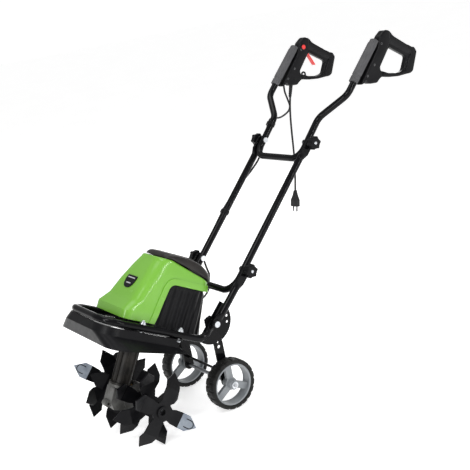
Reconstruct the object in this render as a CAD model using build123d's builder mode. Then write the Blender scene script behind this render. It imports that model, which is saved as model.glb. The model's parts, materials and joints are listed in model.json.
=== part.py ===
"""Mini cultivator: an electric garden tiller with six tine stars, two wheels and a folding handle.

Millimetres, +Z up, standing on level ground at Z = 0. -Y is the front (tines), +Y is where the
operator stands, +X is the operator's left. Everything on the body is laid out in the deck's own
tilted frame: u runs back along the deck, v stands square to it. Stations along the handle are
given behind the wheel axle (y) and above the ground (z).
"""
import os
from math import atan2, cos, degrees, hypot, pi, radians, sin, tan

from build123d import *

os.makedirs("parts", exist_ok=True)

# ---------------------------------------------------------------- driving dimensions
AXLE_Y = -260.2                 # wheel axle, so that the origin is under the middle of the machine
WHEEL_R = 80.0
WHEEL_WIDTH = 44.0
WHEEL_X = 132.0                 # middle of each wheel
RIM_R = 65.5
AXLE_R = 6.0

DECK_TILT = 31.0                # nose-up angle of the deck on level ground
DECK_ORIGIN = (-176.6, 320.2)   # y behind the axle and z of the deck frame's origin

TUBE_R = 11.0                   # every frame tube is 22 mm
TUBE_WALL = 1.5
TONGUE = 8.0                    # thickness of a flattened tube end
TONGUE_WIDTH = 27.0
GAP = 0.3                       # clearance between parts that turn past each other
RUN = 0.05                      # radial running clearance of a shaft in its hole

BUMPER_X = 120.0
BUMPER_FRONT = -200.0           # u of the bumper's front bar
LOWER_X = 130.0
MIDDLE_X = 120.0
GRIP_X = 201.0
PIVOT = (-5.0, 281.0)           # handle pivot (y, z)
FOLD_LOW = (137.0, 407.0)       # lower knobs
FOLD_HIGH = (467.0, 722.0)      # upper knobs

WORM_U = -26.0                  # worm shaft axis, square to the deck
MOTOR_U = 19.0                  # motor axis
TINE_UV = (26.0, -220.5)        # tine shaft in the deck frame
TINE_R = 116.7                  # reach of a tine tip
STAR_X = (58.0, 116.0, 174.0)
STAR_THICK = 4.0
HUB_R = 17.0
SHAFT_R = 9.5

BOLT_R = 4.0                    # M8 hardware


# ---------------------------------------------------------------- frames and helpers
C, S = cos(radians(DECK_TILT)), sin(radians(DECK_TILT))


def deck_yz(u, v):
    """Ground-frame y and z of a point given in the deck frame."""
    return AXLE_Y + DECK_ORIGIN[0] + u * C + v * S, DECK_ORIGIN[1] - u * S + v * C


def deck_point(x, u, v):
    return (x, *deck_yz(u, v))


def deck_plane(v, u=0.0, x=0.0):
    """Plane parallel to the deck: local x is X, local y is u."""
    return Plane(origin=deck_point(x, u, v), x_dir=(1, 0, 0), z_dir=(0, S, C))


def side_plane(x):
    """Upright plane in the deck frame: local x is u, local y is v, extrudes towards +X."""
    return Plane(origin=deck_point(x, 0, 0), x_dir=(0, C, -S), z_dir=(1, 0, 0))


def rear_plane(u, v, x=0.0):
    """Plane square to the deck's run, extruding backwards."""
    return Plane(origin=deck_point(x, u, v), x_dir=(1, 0, 0), z_dir=(0, C, -S))


def ground_plane(x, y=0.0, z=0.0):
    """Upright plane in the ground frame: local x is y from the axle, local y is z."""
    return Plane(origin=(x, AXLE_Y + y, z), x_dir=(0, 1, 0), z_dir=(1, 0, 0))


def at(x, y, z):
    """Point given by its y behind the axle."""
    return Vector(x, AXLE_Y + y, z)


def save(builder, name):
    builder.part.label = name
    export_step(builder.part, f"parts/{name}.step")


def end_plane(path, where):
    """Plane square to a path at its start (0) or its end (1)."""
    tangent = path % where
    return Plane(origin=path @ where, z_dir=tangent)


SIDES = (("left", 1), ("right", -1))
BOLT_SPOTS = [(side * BUMPER_X, u) for _, side in SIDES for u in (-78, 54)]


# ---------------------------------------------------------------- frame tubes
def flattened_end(tube_end, tip, tongue_x, hole_r):
    """Loft the round tube into a flat tongue and carry it round the bolt hole at the tip."""
    run = Vector(0, tip.Y - tube_end.Y, tip.Z - tube_end.Z)
    length, along = run.length, run.normalized()
    taper = 22.0
    neck = Vector(tongue_x, tube_end.Y, tube_end.Z) + along * taper
    with BuildSketch(Plane(origin=tube_end, x_dir=(1, 0, 0), z_dir=along)) as ring:
        Circle(TUBE_R)
    with BuildSketch(Plane(origin=neck, x_dir=(1, 0, 0), z_dir=along)) as flat:
        RectangleRounded(TONGUE, TONGUE_WIDTH, 1.5)
    loft([ring.sketch.face(), flat.sketch.face()])
    extrude(flat.sketch, amount=length - taper)
    with BuildSketch(ground_plane(tongue_x - TONGUE / 2, tip.Y - AXLE_Y, tip.Z)) as eye:
        Circle(TONGUE_WIDTH / 2)
    extrude(eye.sketch, amount=TONGUE)
    bore(tongue_x - 30, (tip.Y - AXLE_Y, tip.Z), hole_r, 60)


def bore(x, yz, radius, length):
    """Cut a hole along X, starting at a station and running outwards to the left."""
    with BuildSketch(ground_plane(x, *yz)) as hole:
        Circle(radius)
    extrude(hole.sketch, amount=length, mode=Mode.SUBTRACT)


def tube_along(path):
    """Sweep the tube's ring along a path."""
    with BuildSketch(end_plane(path, 0)) as ring:
        Circle(TUBE_R)
        Circle(TUBE_R - TUBE_WALL, mode=Mode.SUBTRACT)
    sweep(ring.sketch, path=path)


def toward(start, end, distance):
    """Point at a distance from the start on the way to the end, for (y, z) pairs."""
    length = hypot(end[0] - start[0], end[1] - start[1])
    return tuple(a + (b - a) / length * distance for a, b in zip(start, end))


# ---------------------------------------------------------------- bumper tube
BUMPER_TONGUE_X = 114.0
HANDLE_TONGUE_X = 126.0
PLATE_X = 106.0                 # middle of each wheel plate
PLATE = 4.0
BUMPER_CORNER_U = 140.0

pivot_y, pivot_z = AXLE_Y + PIVOT[0], PIVOT[1]
corner_y, corner_z = deck_yz(BUMPER_CORNER_U, 0)
rise = hypot(pivot_y - corner_y, pivot_z - corner_z)
BUMPER_STOP = 1 - 33.0 / rise    # the round tube stops 33 mm short of the pivot
end_y = corner_y + (pivot_y - corner_y) * BUMPER_STOP
end_z = corner_z + (pivot_z - corner_z) * BUMPER_STOP

with BuildPart() as bumper_tube:
    with BuildLine() as bumper_path:
        FilletPolyline(
            (-BUMPER_X, end_y, end_z),
            deck_point(-BUMPER_X, BUMPER_CORNER_U, 0),
            deck_point(-BUMPER_X, BUMPER_FRONT, 0),
            deck_point(BUMPER_X, BUMPER_FRONT, 0),
            deck_point(BUMPER_X, BUMPER_CORNER_U, 0),
            (BUMPER_X, end_y, end_z),
            radius=(38, 62, 62, 38),
        )
    tube_along(bumper_path.line)
    for _, side in SIDES:
        flattened_end(
            Vector(side * BUMPER_X, end_y, end_z),
            Vector(side * BUMPER_TONGUE_X, pivot_y, pivot_z),
            side * BUMPER_TONGUE_X,
            BOLT_R,
        )
    with BuildSketch(deck_plane(TUBE_R + 1)):
        with Locations(*BOLT_SPOTS):
            Circle(BOLT_R)
    extrude(amount=-2 * TUBE_R - 2, mode=Mode.SUBTRACT)
save(bumper_tube, "bumper_tube")

# ---------------------------------------------------------------- wheel carriage
QUADRANT_R = 69.0
ARM_HALF = 16.0
HANDLE_ANGLE = degrees(atan2(FOLD_LOW[1] - PIVOT[1], FOLD_LOW[0] - PIVOT[0]))

for name, side in SIDES:
    with BuildPart() as wheel_plate:
        with BuildSketch(ground_plane(side * PLATE_X - PLATE / 2)):
            with Locations(PIVOT):
                Circle(QUADRANT_R)
            chord = Rectangle(260, 130, rotation=HANDLE_ANGLE, align=(Align.CENTER, Align.MIN),
                              mode=Mode.PRIVATE)
            lift = 12.0
            shift = (PIVOT[0] - lift * sin(radians(HANDLE_ANGLE)),
                     PIVOT[1] + lift * cos(radians(HANDLE_ANGLE)))
            add(chord.moved(Location((*shift, 0))), mode=Mode.SUBTRACT)
            with Locations((1, (WHEEL_R + PIVOT[1] - 50) / 2)):
                Rectangle(2 * ARM_HALF, PIVOT[1] - 50 - WHEEL_R)
            with Locations((1, WHEEL_R)):
                Circle(ARM_HALF)
            with Locations(PIVOT):
                Circle(BOLT_R + RUN, mode=Mode.SUBTRACT)
                with PolarLocations(56, 3, start_angle=HANDLE_ANGLE - 20, angular_range=-60):
                    Circle(4.5, mode=Mode.SUBTRACT)
            with Locations((1, 212)):
                Circle(3.5, mode=Mode.SUBTRACT)
            with Locations((1, 197)):
                Circle(5.5, mode=Mode.SUBTRACT)
            with Locations((0, WHEEL_R)):
                Circle(AXLE_R, mode=Mode.SUBTRACT)
            with Locations((0, WHEEL_R + 30)):
                Circle(4, mode=Mode.SUBTRACT)
        extrude(amount=PLATE)
    save(wheel_plate, f"wheel_plate_{name}")

with BuildPart() as axle:
    with BuildSketch(ground_plane(-WHEEL_X - 30, 0, WHEEL_R)):
        Circle(AXLE_R)
    extrude(amount=2 * (WHEEL_X + 30))
save(axle, "axle")

with BuildPart() as cross_rod:
    with BuildSketch(ground_plane(-PLATE_X - PLATE / 2 - 2, 0, WHEEL_R + 30)):
        Circle(4)
    extrude(amount=2 * PLATE_X + PLATE + 4)
save(cross_rod, "cross_rod")

with BuildPart() as axle_clips:
    for _, side in SIDES:
        with BuildSketch(ground_plane(side * (WHEEL_X + 26) - 1.5, 0, WHEEL_R)):
            Circle(11)
            Circle(AXLE_R, mode=Mode.SUBTRACT)
        extrude(amount=3)
save(axle_clips, "axle_clips")

# ---------------------------------------------------------------- wheels
LUGS = 20
LUG_TALL, LUG_WIDE = 11, 15
SHOULDER_R = 76.0
HUB_BORE_R = AXLE_R + RUN

for name, side in SIDES:
    centre = at(side * WHEEL_X, 0, WHEEL_R)
    middle = Plane(origin=centre, x_dir=(0, 1, 0), z_dir=(1, 0, 0))
    half = WHEEL_WIDTH / 2
    with BuildPart() as tyre:
        with BuildSketch(Plane(origin=centre, x_dir=(1, 0, 0), z_dir=(0, -1, 0))):
            with BuildLine():
                Polyline((-half + 3, RIM_R), (half - 3, RIM_R))
                Polyline((half - 3, RIM_R), (half, RIM_R + 5), (half, SHOULDER_R - 3))
                ThreePointArc((half, SHOULDER_R - 3), (0, WHEEL_R - 2), (-half, SHOULDER_R - 3))
                Polyline((-half, SHOULDER_R - 3), (-half, RIM_R + 5), (-half + 3, RIM_R))
            make_face()
        revolve(axis=Axis(centre, (1, 0, 0)))
        for start in (-1, 1):
            phase = 0 if start < 0 else 180 / LUGS
            lug_plane = Plane(origin=centre + Vector(start * half / 2 - half / 2, 0, 0),
                              x_dir=(0, 1, 0), z_dir=(1, 0, 0))
            with BuildSketch(lug_plane):
                with PolarLocations(WHEEL_R - LUG_TALL / 2, LUGS, start_angle=phase):
                    Rectangle(LUG_TALL, LUG_WIDE)
                Circle(RIM_R + 1, mode=Mode.SUBTRACT)
            extrude(amount=half - 0.4 if start < 0 else half)
        with BuildSketch(middle.offset(-half - 1)):
            Circle(WHEEL_R + 10)
            Circle(WHEEL_R, mode=Mode.SUBTRACT)
        extrude(amount=WHEEL_WIDTH + 2, mode=Mode.SUBTRACT)
    save(tyre, f"tyre_{name}")

    with BuildPart() as hub:
        with BuildSketch(middle.offset(-half + 4)):
            Circle(RIM_R)
            Circle(RIM_R - 5, mode=Mode.SUBTRACT)
        extrude(amount=WHEEL_WIDTH - 8)
        with BuildSketch(middle.offset(-6)):
            Circle(20)
            for angle in (90, 210, 330):
                with Locations(Location((0, 0, 0), (0, 0, angle))):
                    with Locations((RIM_R / 2 + 4, 0)):
                        Rectangle(RIM_R - 6, 22)
            Circle(RIM_R - 1, mode=Mode.INTERSECT)
        extrude(amount=12)
        with BuildSketch(middle.offset(-half + 1)):
            Circle(15)
        extrude(amount=WHEEL_WIDTH)
        with BuildSketch(middle.offset(-half - 5)):
            Circle(HUB_BORE_R)
        extrude(amount=WHEEL_WIDTH + 10, mode=Mode.SUBTRACT)
    save(hub, f"wheel_hub_{name}")

# ---------------------------------------------------------------- handle tubes
for name, side in SIDES:
    start = toward(PIVOT, FOLD_LOW, 34)
    stop = toward(FOLD_LOW, PIVOT, 66)
    tongue_top = 131.4 + TONGUE / 2
    with BuildPart() as lower_tube:
        with BuildLine() as lower_path:
            Line(at(side * LOWER_X, *start), at(side * LOWER_X, *stop))
        tube_along(lower_path.line)
        flattened_end(at(side * LOWER_X, *start), at(side * HANDLE_TONGUE_X, *PIVOT),
                      side * HANDLE_TONGUE_X, BOLT_R + RUN)
        flattened_end(at(side * LOWER_X, *stop), at(side * tongue_top, *FOLD_LOW),
                      side * tongue_top, BOLT_R + RUN)
    save(lower_tube, f"lower_tube_{name}")

LOW_BAR = (81.0, 351.0)          # lower crossbar (y, z)
HIGH_BAR = (426.0, 679.5)        # upper crossbar
MIDDLE_TONGUE_X = 129.3
middle_stop = toward(FOLD_HIGH, FOLD_LOW, 60)
with BuildPart() as middle_tube:
    with BuildLine() as middle_path:
        FilletPolyline(
            at(-MIDDLE_X, *middle_stop), at(-MIDDLE_X, *FOLD_LOW), at(-MIDDLE_X, *LOW_BAR),
            at(MIDDLE_X, *LOW_BAR), at(MIDDLE_X, *FOLD_LOW), at(MIDDLE_X, *middle_stop),
            radius=(200, 55, 55, 200),
        )
    tube_along(middle_path.line)
    for _, side in SIDES:
        flattened_end(at(side * MIDDLE_X, *middle_stop), at(side * MIDDLE_TONGUE_X, *FOLD_HIGH),
                      side * MIDDLE_TONGUE_X, BOLT_R + RUN)
        bore(side * MIDDLE_X - 12, FOLD_LOW, BOLT_R, 24)
save(middle_tube, "middle_tube")

BEND_LOW = (531.0, 786.0)        # where the S-bend leaves the leg
BEND_HIGH = (590.0, 847.0)       # where it comes back parallel
TUBE_TOP = (735.0, 985.0)        # end of the tube inside the grip
UPPER_LEG_X = 114.0
with BuildPart() as upper_tube:
    with BuildLine() as upper_path:
        FilletPolyline(
            at(-GRIP_X, *TUBE_TOP), at(-GRIP_X, *BEND_HIGH), at(-UPPER_LEG_X, *BEND_LOW),
            at(-UPPER_LEG_X, *HIGH_BAR), at(UPPER_LEG_X, *HIGH_BAR), at(UPPER_LEG_X, *BEND_LOW),
            at(GRIP_X, *BEND_HIGH), at(GRIP_X, *TUBE_TOP),
            radius=(45, 45, 40, 40, 45, 45),
        )
    tube_along(upper_path.line)
    for _, side in SIDES:
        bore(side * UPPER_LEG_X - 12, FOLD_HIGH, BOLT_R, 24)
save(upper_tube, "upper_tube")

# ---------------------------------------------------------------- fold bolts and knobs
KNOB_BOSS = 7.0
KNOB_HEAD = 19.0
KNOB_R = 22.0


def carriage_bolts(name, head_x, end_x, yz, head_r=9.0):
    """Domed-head bolts through both sides of the handle, heads inboard."""
    with BuildPart() as bolts:
        for _, side in SIDES:
            low, high = sorted((side * head_x, side * end_x))
            with BuildSketch(ground_plane(low, *yz)):
                Circle(BOLT_R)
            extrude(amount=high - low)
            with BuildSketch(ground_plane(side * head_x, *yz)):
                Circle(head_r)
            extrude(amount=-side * 3.0)
    save(bolts, name)


def lobed_knob(name, seat_x, side, yz):
    """Hand knob with six lobes, turning on its bolt, its boss towards the tube."""
    out = side
    with BuildPart() as knob:
        with BuildSketch(ground_plane(side * seat_x, *yz)):
            Circle(9.5)
        extrude(amount=out * KNOB_BOSS)
        with BuildSketch(ground_plane(side * (seat_x + KNOB_BOSS), *yz)):
            Circle(KNOB_R - 3.5)
            with PolarLocations(KNOB_R - 5, 6):
                Circle(5)
        extrude(amount=out * KNOB_HEAD)
        outer = knob.faces().sort_by(Axis.X)[-1 if side > 0 else 0]
        chamfer(outer.edges(), 2)
        with BuildSketch(ground_plane(side * seat_x, *yz)):
            Circle(BOLT_R + RUN)
        extrude(amount=out * (KNOB_BOSS + KNOB_HEAD - 4), mode=Mode.SUBTRACT)
    save(knob, name)


LOW_SEAT = 139.8
HIGH_SEAT = 133.7
carriage_bolts("fold_bolts_low", MIDDLE_X - TUBE_R, LOW_SEAT + 20, FOLD_LOW)
carriage_bolts("fold_bolts_high", UPPER_LEG_X - TUBE_R, HIGH_SEAT + 20, FOLD_HIGH)
for name, side in SIDES:
    lobed_knob(f"fold_knob_low_{name}", LOW_SEAT, side, FOLD_LOW)
    lobed_knob(f"fold_knob_high_{name}", HIGH_SEAT, side, FOLD_HIGH)

with BuildPart() as pivot_bolts:
    for _, side in SIDES:
        low, high = sorted((side * 86.0, side * 137.0))
        with BuildSketch(ground_plane(low, *PIVOT)):
            Circle(BOLT_R)
        extrude(amount=high - low)
        with BuildSketch(ground_plane(side * (HANDLE_TONGUE_X + TONGUE / 2 + GAP), *PIVOT)):
            Circle(9.5)
        extrude(amount=side * 8.0)
        with BuildSketch(ground_plane(side * (BUMPER_TONGUE_X + TONGUE / 2), *PIVOT)):
            Circle(8.5)
            Circle(BOLT_R, mode=Mode.SUBTRACT)
        extrude(amount=side * 3.7)
save(pivot_bolts, "pivot_bolts")

for name, side in SIDES:
    with BuildPart() as pivot_knob:
        with BuildSketch(ground_plane(side * (PLATE_X - PLATE / 2 - GAP), *PIVOT)):
            Circle(16)
            with PolarLocations(14, 5):
                Circle(4.5)
        extrude(amount=-side * 15)
        with BuildSketch(ground_plane(side * (PLATE_X - PLATE / 2 - GAP), *PIVOT)):
            Circle(BOLT_R + RUN)
        extrude(amount=-side * 15, mode=Mode.SUBTRACT)
    save(pivot_knob, f"pivot_knob_{name}")

# ---------------------------------------------------------------- covers
def plan_block(profile, sections):
    """Extrude a side profile across the machine and trim it to rounded plan sections.

    profile: (u, v) points. sections: (v, half_width, u_front, u_rear, corner_radius).
    """
    with BuildPart() as block:
        with BuildSketch(side_plane(-250)):
            Polygon(*profile, align=None)
        extrude(amount=500)
        for v, half_width, front, rear, radius in sections:
            with BuildSketch(deck_plane(v, (front + rear) / 2)):
                RectangleRounded(2 * half_width, rear - front, radius)
        loft(ruled=True, mode=Mode.INTERSECT)
    return block.part


def plan_loft(sections):
    """Loft rounded plan sections given as (v, half_width, u_front, u_rear, corner_radius)."""
    with BuildPart() as block:
        for v, half_width, front, rear, radius in sections:
            with BuildSketch(deck_plane(v, (front + rear) / 2)):
                RectangleRounded(2 * half_width, rear - front, radius)
        loft(ruled=True)
    return block.part


WALL = 3.0
PLATE_TOP = -12.3                # v of the guard's deck plate, just under the bumper tube

hood_profile = [(-131, 15), (-131, 41), (-105, 71), (-50, 208), (-8, 209), (150, 170),
                (158, 139), (39, 139), (15, 137), (5, 125), (-26, 15)]
hood_hollow = [(-128, 0), (-128, 40.3), (-102.4, 69.7), (-48, 205), (-8.4, 206),
               (147.4, 167.6), (155, 138), (155, 0)]
hood_outer = plan_block(hood_profile, [(10, 96, -133, 165, 45), (139, 90, -133, 165, 42),
                                       (212, 71, -133, 165, 36)])
hood_inner = plan_block(hood_hollow, [(-2, 93.4, -130, 162, 42), (139, 87, -130, 162, 39),
                                      (212, 68, -130, 162, 33)])
with BuildPart() as hood:
    add(hood_outer)
    add(hood_inner, mode=Mode.SUBTRACT)
save(hood, "hood")

cap_profile = [(-29, 209.5), (-29, 222), (-20, 226), (55, 226), (108, 216), (140, 200), (163, 178),
               (160.5, 168.2), (150, 170.5), (-8, 209.5)]
cap_outer = plan_block(cap_profile, [(165, 77, -31, 166, 34), (205, 72, -31, 166, 34),
                                     (228, 56, -31, 166, 26)])
cap_hollow = [(-26, 200), (-26, 221), (-19.5, 223), (54.7, 223), (107, 213), (138, 197.5),
              (158.5, 177.5), (156, 155)]
cap_inner = plan_block(cap_hollow, [(150, 75, -28, 163, 31), (205, 69, -28, 163, 31),
                                    (228, 53, -28, 163, 23)])
with BuildPart() as vent_cap:
    add(cap_outer)
    add(cap_inner, mode=Mode.SUBTRACT)
save(vent_cap, "vent_cap")

housing_outer = plan_loft([(-12, 92, -75, 172, 55), (150, 82, -62, 150, 50)])
housing_inner = plan_loft([(-13, 89, -72, 169, 52), (151, 79, -59, 147, 47)])
with BuildPart() as motor_housing:
    add(housing_outer)
    add(housing_inner, mode=Mode.SUBTRACT)
    with BuildSketch(rear_plane(130, 112)):
        Circle(7)
    extrude(amount=60, mode=Mode.SUBTRACT)
save(motor_housing, "motor_housing")

RIM_SLOPE = degrees(atan2(28, 245))     # the skirt's lower rim rises towards the back


def skirt_bands(grow, rim_drop):
    """Two lofted bands: a steep upper one, and a lower one flaring out to the sloping rim."""
    rims = (
        (PLATE_TOP, 130, -206, 0),
        (-35, 137, -212, 0),
        (-53.4 - rim_drop, 190, -190, RIM_SLOPE),
    )
    with BuildPart() as bands:
        for upper, lower in zip(rims, rims[1:]):
            faces = []
            for v, half_width, front, slope in (upper, lower):
                lean = radians(slope)
                middle = (front + 100) / 2
                normal = (0, S * cos(lean) - C * sin(lean), C * cos(lean) + S * sin(lean))
                level = Plane(origin=deck_point(0, middle, v), x_dir=(1, 0, 0), z_dir=normal)
                with BuildSketch(level) as outline:
                    Rectangle(2 * (half_width + grow), 100 - front + 2 * grow)
                    corners = outline.vertices().sort_by(Axis.Y)[:2]
                    fillet(corners, 60 + grow)
                faces.append(outline.sketch.face())
            loft(faces, ruled=True)
    return bands.part


guard_outer = skirt_bands(0, 0)
guard_inner = skirt_bands(-WALL, 1.5)
with BuildPart() as tine_guard:
    add(guard_outer)
    add(guard_inner, mode=Mode.SUBTRACT)
    with BuildSketch(side_plane(-300)):
        Polygon((30, 10), (36, -2), (56, -40), (70, -90), (300, -90), (300, 10), align=None)
    extrude(amount=600, mode=Mode.SUBTRACT)
    with BuildSketch(deck_plane(PLATE_TOP, 10)):
        RectangleRounded(200, 310, 30)
        with Locations((0, 34)):
            RectangleRounded(264, 44, 10)
    extrude(amount=-WALL)
    with BuildSketch(deck_plane(PLATE_TOP, WORM_U)):
        Circle(30)
    extrude(amount=-WALL * 2, mode=Mode.SUBTRACT)
    with BuildSketch(deck_plane(PLATE_TOP + 1, 0)):
        with Locations(*BOLT_SPOTS):
            Circle(BOLT_R)
    extrude(amount=-8, mode=Mode.SUBTRACT)
save(tine_guard, "tine_guard")

badge_slope = degrees(atan2(208 - 71, -50 + 105))
badge_mid = 118.0
badge_u = -105 + (badge_mid - 71) / tan(radians(badge_slope))
badge_normal = (0, C * -sin(radians(badge_slope)) + S * cos(radians(badge_slope)),
                S * sin(radians(badge_slope)) + C * cos(radians(badge_slope)))
with BuildPart() as badge_plate:
    with BuildSketch(Plane(origin=deck_point(2, badge_u, badge_mid), x_dir=(1, 0, 0),
                           z_dir=badge_normal).offset(0.4)):
        RectangleRounded(44, 34, 4)
    extrude(amount=2)
save(badge_plate, "badge_plate")

# ---------------------------------------------------------------- gearbox
COLUMN_R = 28.0
COLUMN_BORE = 24.0
FLANGE_V = -192.0
CASE_R = 44.0
CASE_HALF = 24.0
WORM_R = 13.1
WHEEL_GEAR_R = 38.6
WORM_SHAFT_R = 6.5
BEARING_R = 16.0
BOSS_R = 20.0
FLANGE_R = 36.0
FLANGE_BOLTS = 4

with BuildPart() as gearbox_column:
    with BuildSketch(deck_plane(-4, WORM_U)):
        Circle(COLUMN_R)
    extrude(amount=-(-4 - FLANGE_V))
    with BuildSketch(deck_plane(-17, WORM_U)):
        Circle(COLUMN_R)
        for turn in range(8):
            with Locations(Location((0, 0, 0), (0, 0, 22.5 + 45 * turn))):
                with Locations((COLUMN_R, 0)):
                    Rectangle(6, 4)
    extrude(amount=-(-17 - FLANGE_V))
    with BuildSketch(deck_plane(-16, WORM_U)):
        RectangleRounded(96, 76, 12)
    extrude(amount=-5)
    with BuildSketch(deck_plane(FLANGE_V + 6, WORM_U)):
        Circle(FLANGE_R)
    extrude(amount=-6)
    with BuildSketch(deck_plane(0, WORM_U)):
        Circle(COLUMN_BORE)
    extrude(amount=FLANGE_V - 5, mode=Mode.SUBTRACT)
    with BuildSketch(deck_plane(FLANGE_V + 10, WORM_U)):
        with PolarLocations(FLANGE_R - 5, FLANGE_BOLTS, start_angle=0):
            Circle(2.5)
    extrude(amount=-20, mode=Mode.SUBTRACT)
    with BuildSketch(side_plane(-CASE_HALF - 0.5)):
        with Locations(TINE_UV):
            Circle(CASE_R + GAP)
    extrude(amount=2 * CASE_HALF + 1, mode=Mode.SUBTRACT)
save(gearbox_column, "gearbox_column")

with BuildPart() as gear_case:
    with BuildSketch(side_plane(-CASE_HALF)):
        with Locations(TINE_UV):
            Circle(CASE_R)
        Polygon((-56, FLANGE_V - 10), (-56, -246), (-40, -266), (20, -264), (20, FLANGE_V - 10),
                align=None)
    extrude(amount=2 * CASE_HALF)
    with BuildSketch(deck_plane(FLANGE_V, WORM_U)):
        Circle(FLANGE_R)
    extrude(amount=-8)
    with BuildSketch(side_plane(-CASE_HALF)):
        with Locations(TINE_UV):
            Circle(BOSS_R)
    extrude(amount=-9)
    with BuildSketch(side_plane(-12)):
        with Locations((-56, -252)):
            Circle(11)
    extrude(amount=24)
    with BuildSketch(side_plane(-12)):
        with Locations(TINE_UV):
            Circle(WHEEL_GEAR_R + 0.8)
    extrude(amount=60, mode=Mode.SUBTRACT)
    with BuildSketch(side_plane(-CASE_HALF - 20)):
        with Locations(TINE_UV):
            Circle(BEARING_R)
    extrude(amount=60, mode=Mode.SUBTRACT)
    with BuildSketch(side_plane(-40)):
        with Locations((-56, -252)):
            Circle(4.3)
    extrude(amount=80, mode=Mode.SUBTRACT)
    with BuildSketch(deck_plane(-150, WORM_U)):
        Circle(WORM_R + 1.4)
    extrude(amount=-106, mode=Mode.SUBTRACT)
    with BuildSketch(deck_plane(-150, WORM_U)):
        Circle(COLUMN_R + 8)
    extrude(amount=-(-150 - FLANGE_V), mode=Mode.SUBTRACT)
    with BuildSketch(deck_plane(FLANGE_V + 10, WORM_U)):
        with PolarLocations(FLANGE_R - 5, FLANGE_BOLTS, start_angle=0):
            Circle(2.5)
    extrude(amount=-40, mode=Mode.SUBTRACT)
save(gear_case, "gear_case")

with BuildPart() as case_cover:
    with BuildSketch(side_plane(CASE_HALF)):
        with Locations(TINE_UV):
            Circle(CASE_R)
    extrude(amount=4)
    with BuildSketch(side_plane(CASE_HALF)):
        with Locations(TINE_UV):
            Circle(BOSS_R)
    extrude(amount=9)
    with BuildSketch(side_plane(CASE_HALF - 5)):
        with Locations(TINE_UV):
            Circle(BEARING_R)
    extrude(amount=20, mode=Mode.SUBTRACT)
    with BuildSketch(deck_plane(-150, WORM_U)):
        Circle(FLANGE_R + GAP)
    extrude(amount=-50.3, mode=Mode.SUBTRACT)
save(case_cover, "case_cover")

with BuildPart() as bearings:
    for low, high in ((-33, -22), (22, 33)):
        with BuildSketch(side_plane(low)):
            with Locations(TINE_UV):
                Circle(BEARING_R)
                Circle(SHAFT_R + RUN, mode=Mode.SUBTRACT)
        extrude(amount=high - low)
    for top in (-5, -172):
        with BuildSketch(deck_plane(top, WORM_U)):
            Circle(COLUMN_BORE)
            Circle(WORM_SHAFT_R + RUN, mode=Mode.SUBTRACT)
        extrude(amount=-9)
save(bearings, "bearings")

def gear_sketch(teeth, module, bore, phase=0):
    """Plain trapezoid-toothed gear outline with its bore."""
    root_r = module * (teeth / 2 - 1.25)
    tip_r = module * (teeth / 2 + 0.72)
    Circle(root_r)
    for tooth in range(teeth):
        with Locations(Location((0, 0, 0), (0, 0, phase + 360 / teeth * tooth))):
            Polygon((root_r - 1, -module * 0.82), (tip_r, -module * 0.36),
                    (tip_r, module * 0.36), (root_r - 1, module * 0.82), align=None)
    Circle(bore, mode=Mode.SUBTRACT)


with BuildPart() as worm_shaft:
    with BuildSketch(deck_plane(22, WORM_U)):
        Circle(WORM_SHAFT_R)
    extrude(amount=-(22 + 252))
    with BuildSketch(deck_plane(-196, WORM_U)):
        Circle(WORM_R)
    extrude(amount=-50)
    with BuildSketch(deck_plane(8, WORM_U)):
        gear_sketch(48, 1.5, 3)
        Circle(4)
    extrude(amount=12)
save(worm_shaft, "worm_shaft")

with BuildPart() as worm_wheel:
    with BuildSketch(side_plane(-9)):
        with Locations(TINE_UV):
            Circle(WHEEL_GEAR_R)
            Circle(SHAFT_R, mode=Mode.SUBTRACT)
            with PolarLocations(WHEEL_GEAR_R + 0.9, 30):
                Circle(1.5, mode=Mode.SUBTRACT)
    extrude(amount=18)
save(worm_wheel, "worm_wheel")

# ---------------------------------------------------------------- motor
MOTOR_SHAFT_R = 5.0
POSTS = [(-38, -38), (38, -38), (-38, 38), (38, 38)]
with BuildPart() as motor_plate:
    with BuildSketch(deck_plane(26, 38)):
        RectangleRounded(160, 190, 45)
    extrude(amount=6)
    with BuildSketch(deck_plane(20, MOTOR_U)):
        Circle(MOTOR_SHAFT_R + 3)
    extrude(amount=20, mode=Mode.SUBTRACT)
    with BuildSketch(deck_plane(32, MOTOR_U)):
        with Locations(*POSTS):
            Circle(4)
    extrude(amount=104)
    with BuildSketch(deck_plane(26, MOTOR_U + 70)):
        with Locations((-60, 0), (60, 0)):
            Circle(6)
    extrude(amount=-(26 - PLATE_TOP))
save(motor_plate, "motor_plate")

with BuildPart() as motor_stator:
    with BuildSketch(deck_plane(58, MOTOR_U)):
        Circle(46)
        Circle(26.5, mode=Mode.SUBTRACT)
    extrude(amount=54)
save(motor_stator, "motor_stator")

with BuildPart() as armature:
    for low, high, radius in ((2, 150, MOTOR_SHAFT_R), (60, 110, 25), (118, 130, 14)):
        with BuildSketch(deck_plane(low, MOTOR_U)):
            Circle(radius)
        extrude(amount=high - low)
    with BuildSketch(deck_plane(8, MOTOR_U)):
        gear_sketch(12, 1.5, 0.5, 15)
        Circle(2)
    extrude(amount=12)
save(armature, "armature")

with BuildPart() as fan:
    with BuildSketch(deck_plane(38, MOTOR_U)):
        Circle(44)
        Circle(MOTOR_SHAFT_R, mode=Mode.SUBTRACT)
    extrude(amount=2.5)
    with BuildSketch(deck_plane(40, MOTOR_U)):
        Circle(12)
        for blade in range(9):
            with Locations(Location((0, 0, 0), (0, 0, 40 * blade))):
                with Locations((26, 0)):
                    Rectangle(34, 2, rotation=18)
        Circle(MOTOR_SHAFT_R, mode=Mode.SUBTRACT)
    extrude(amount=7)
save(fan, "fan")

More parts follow.
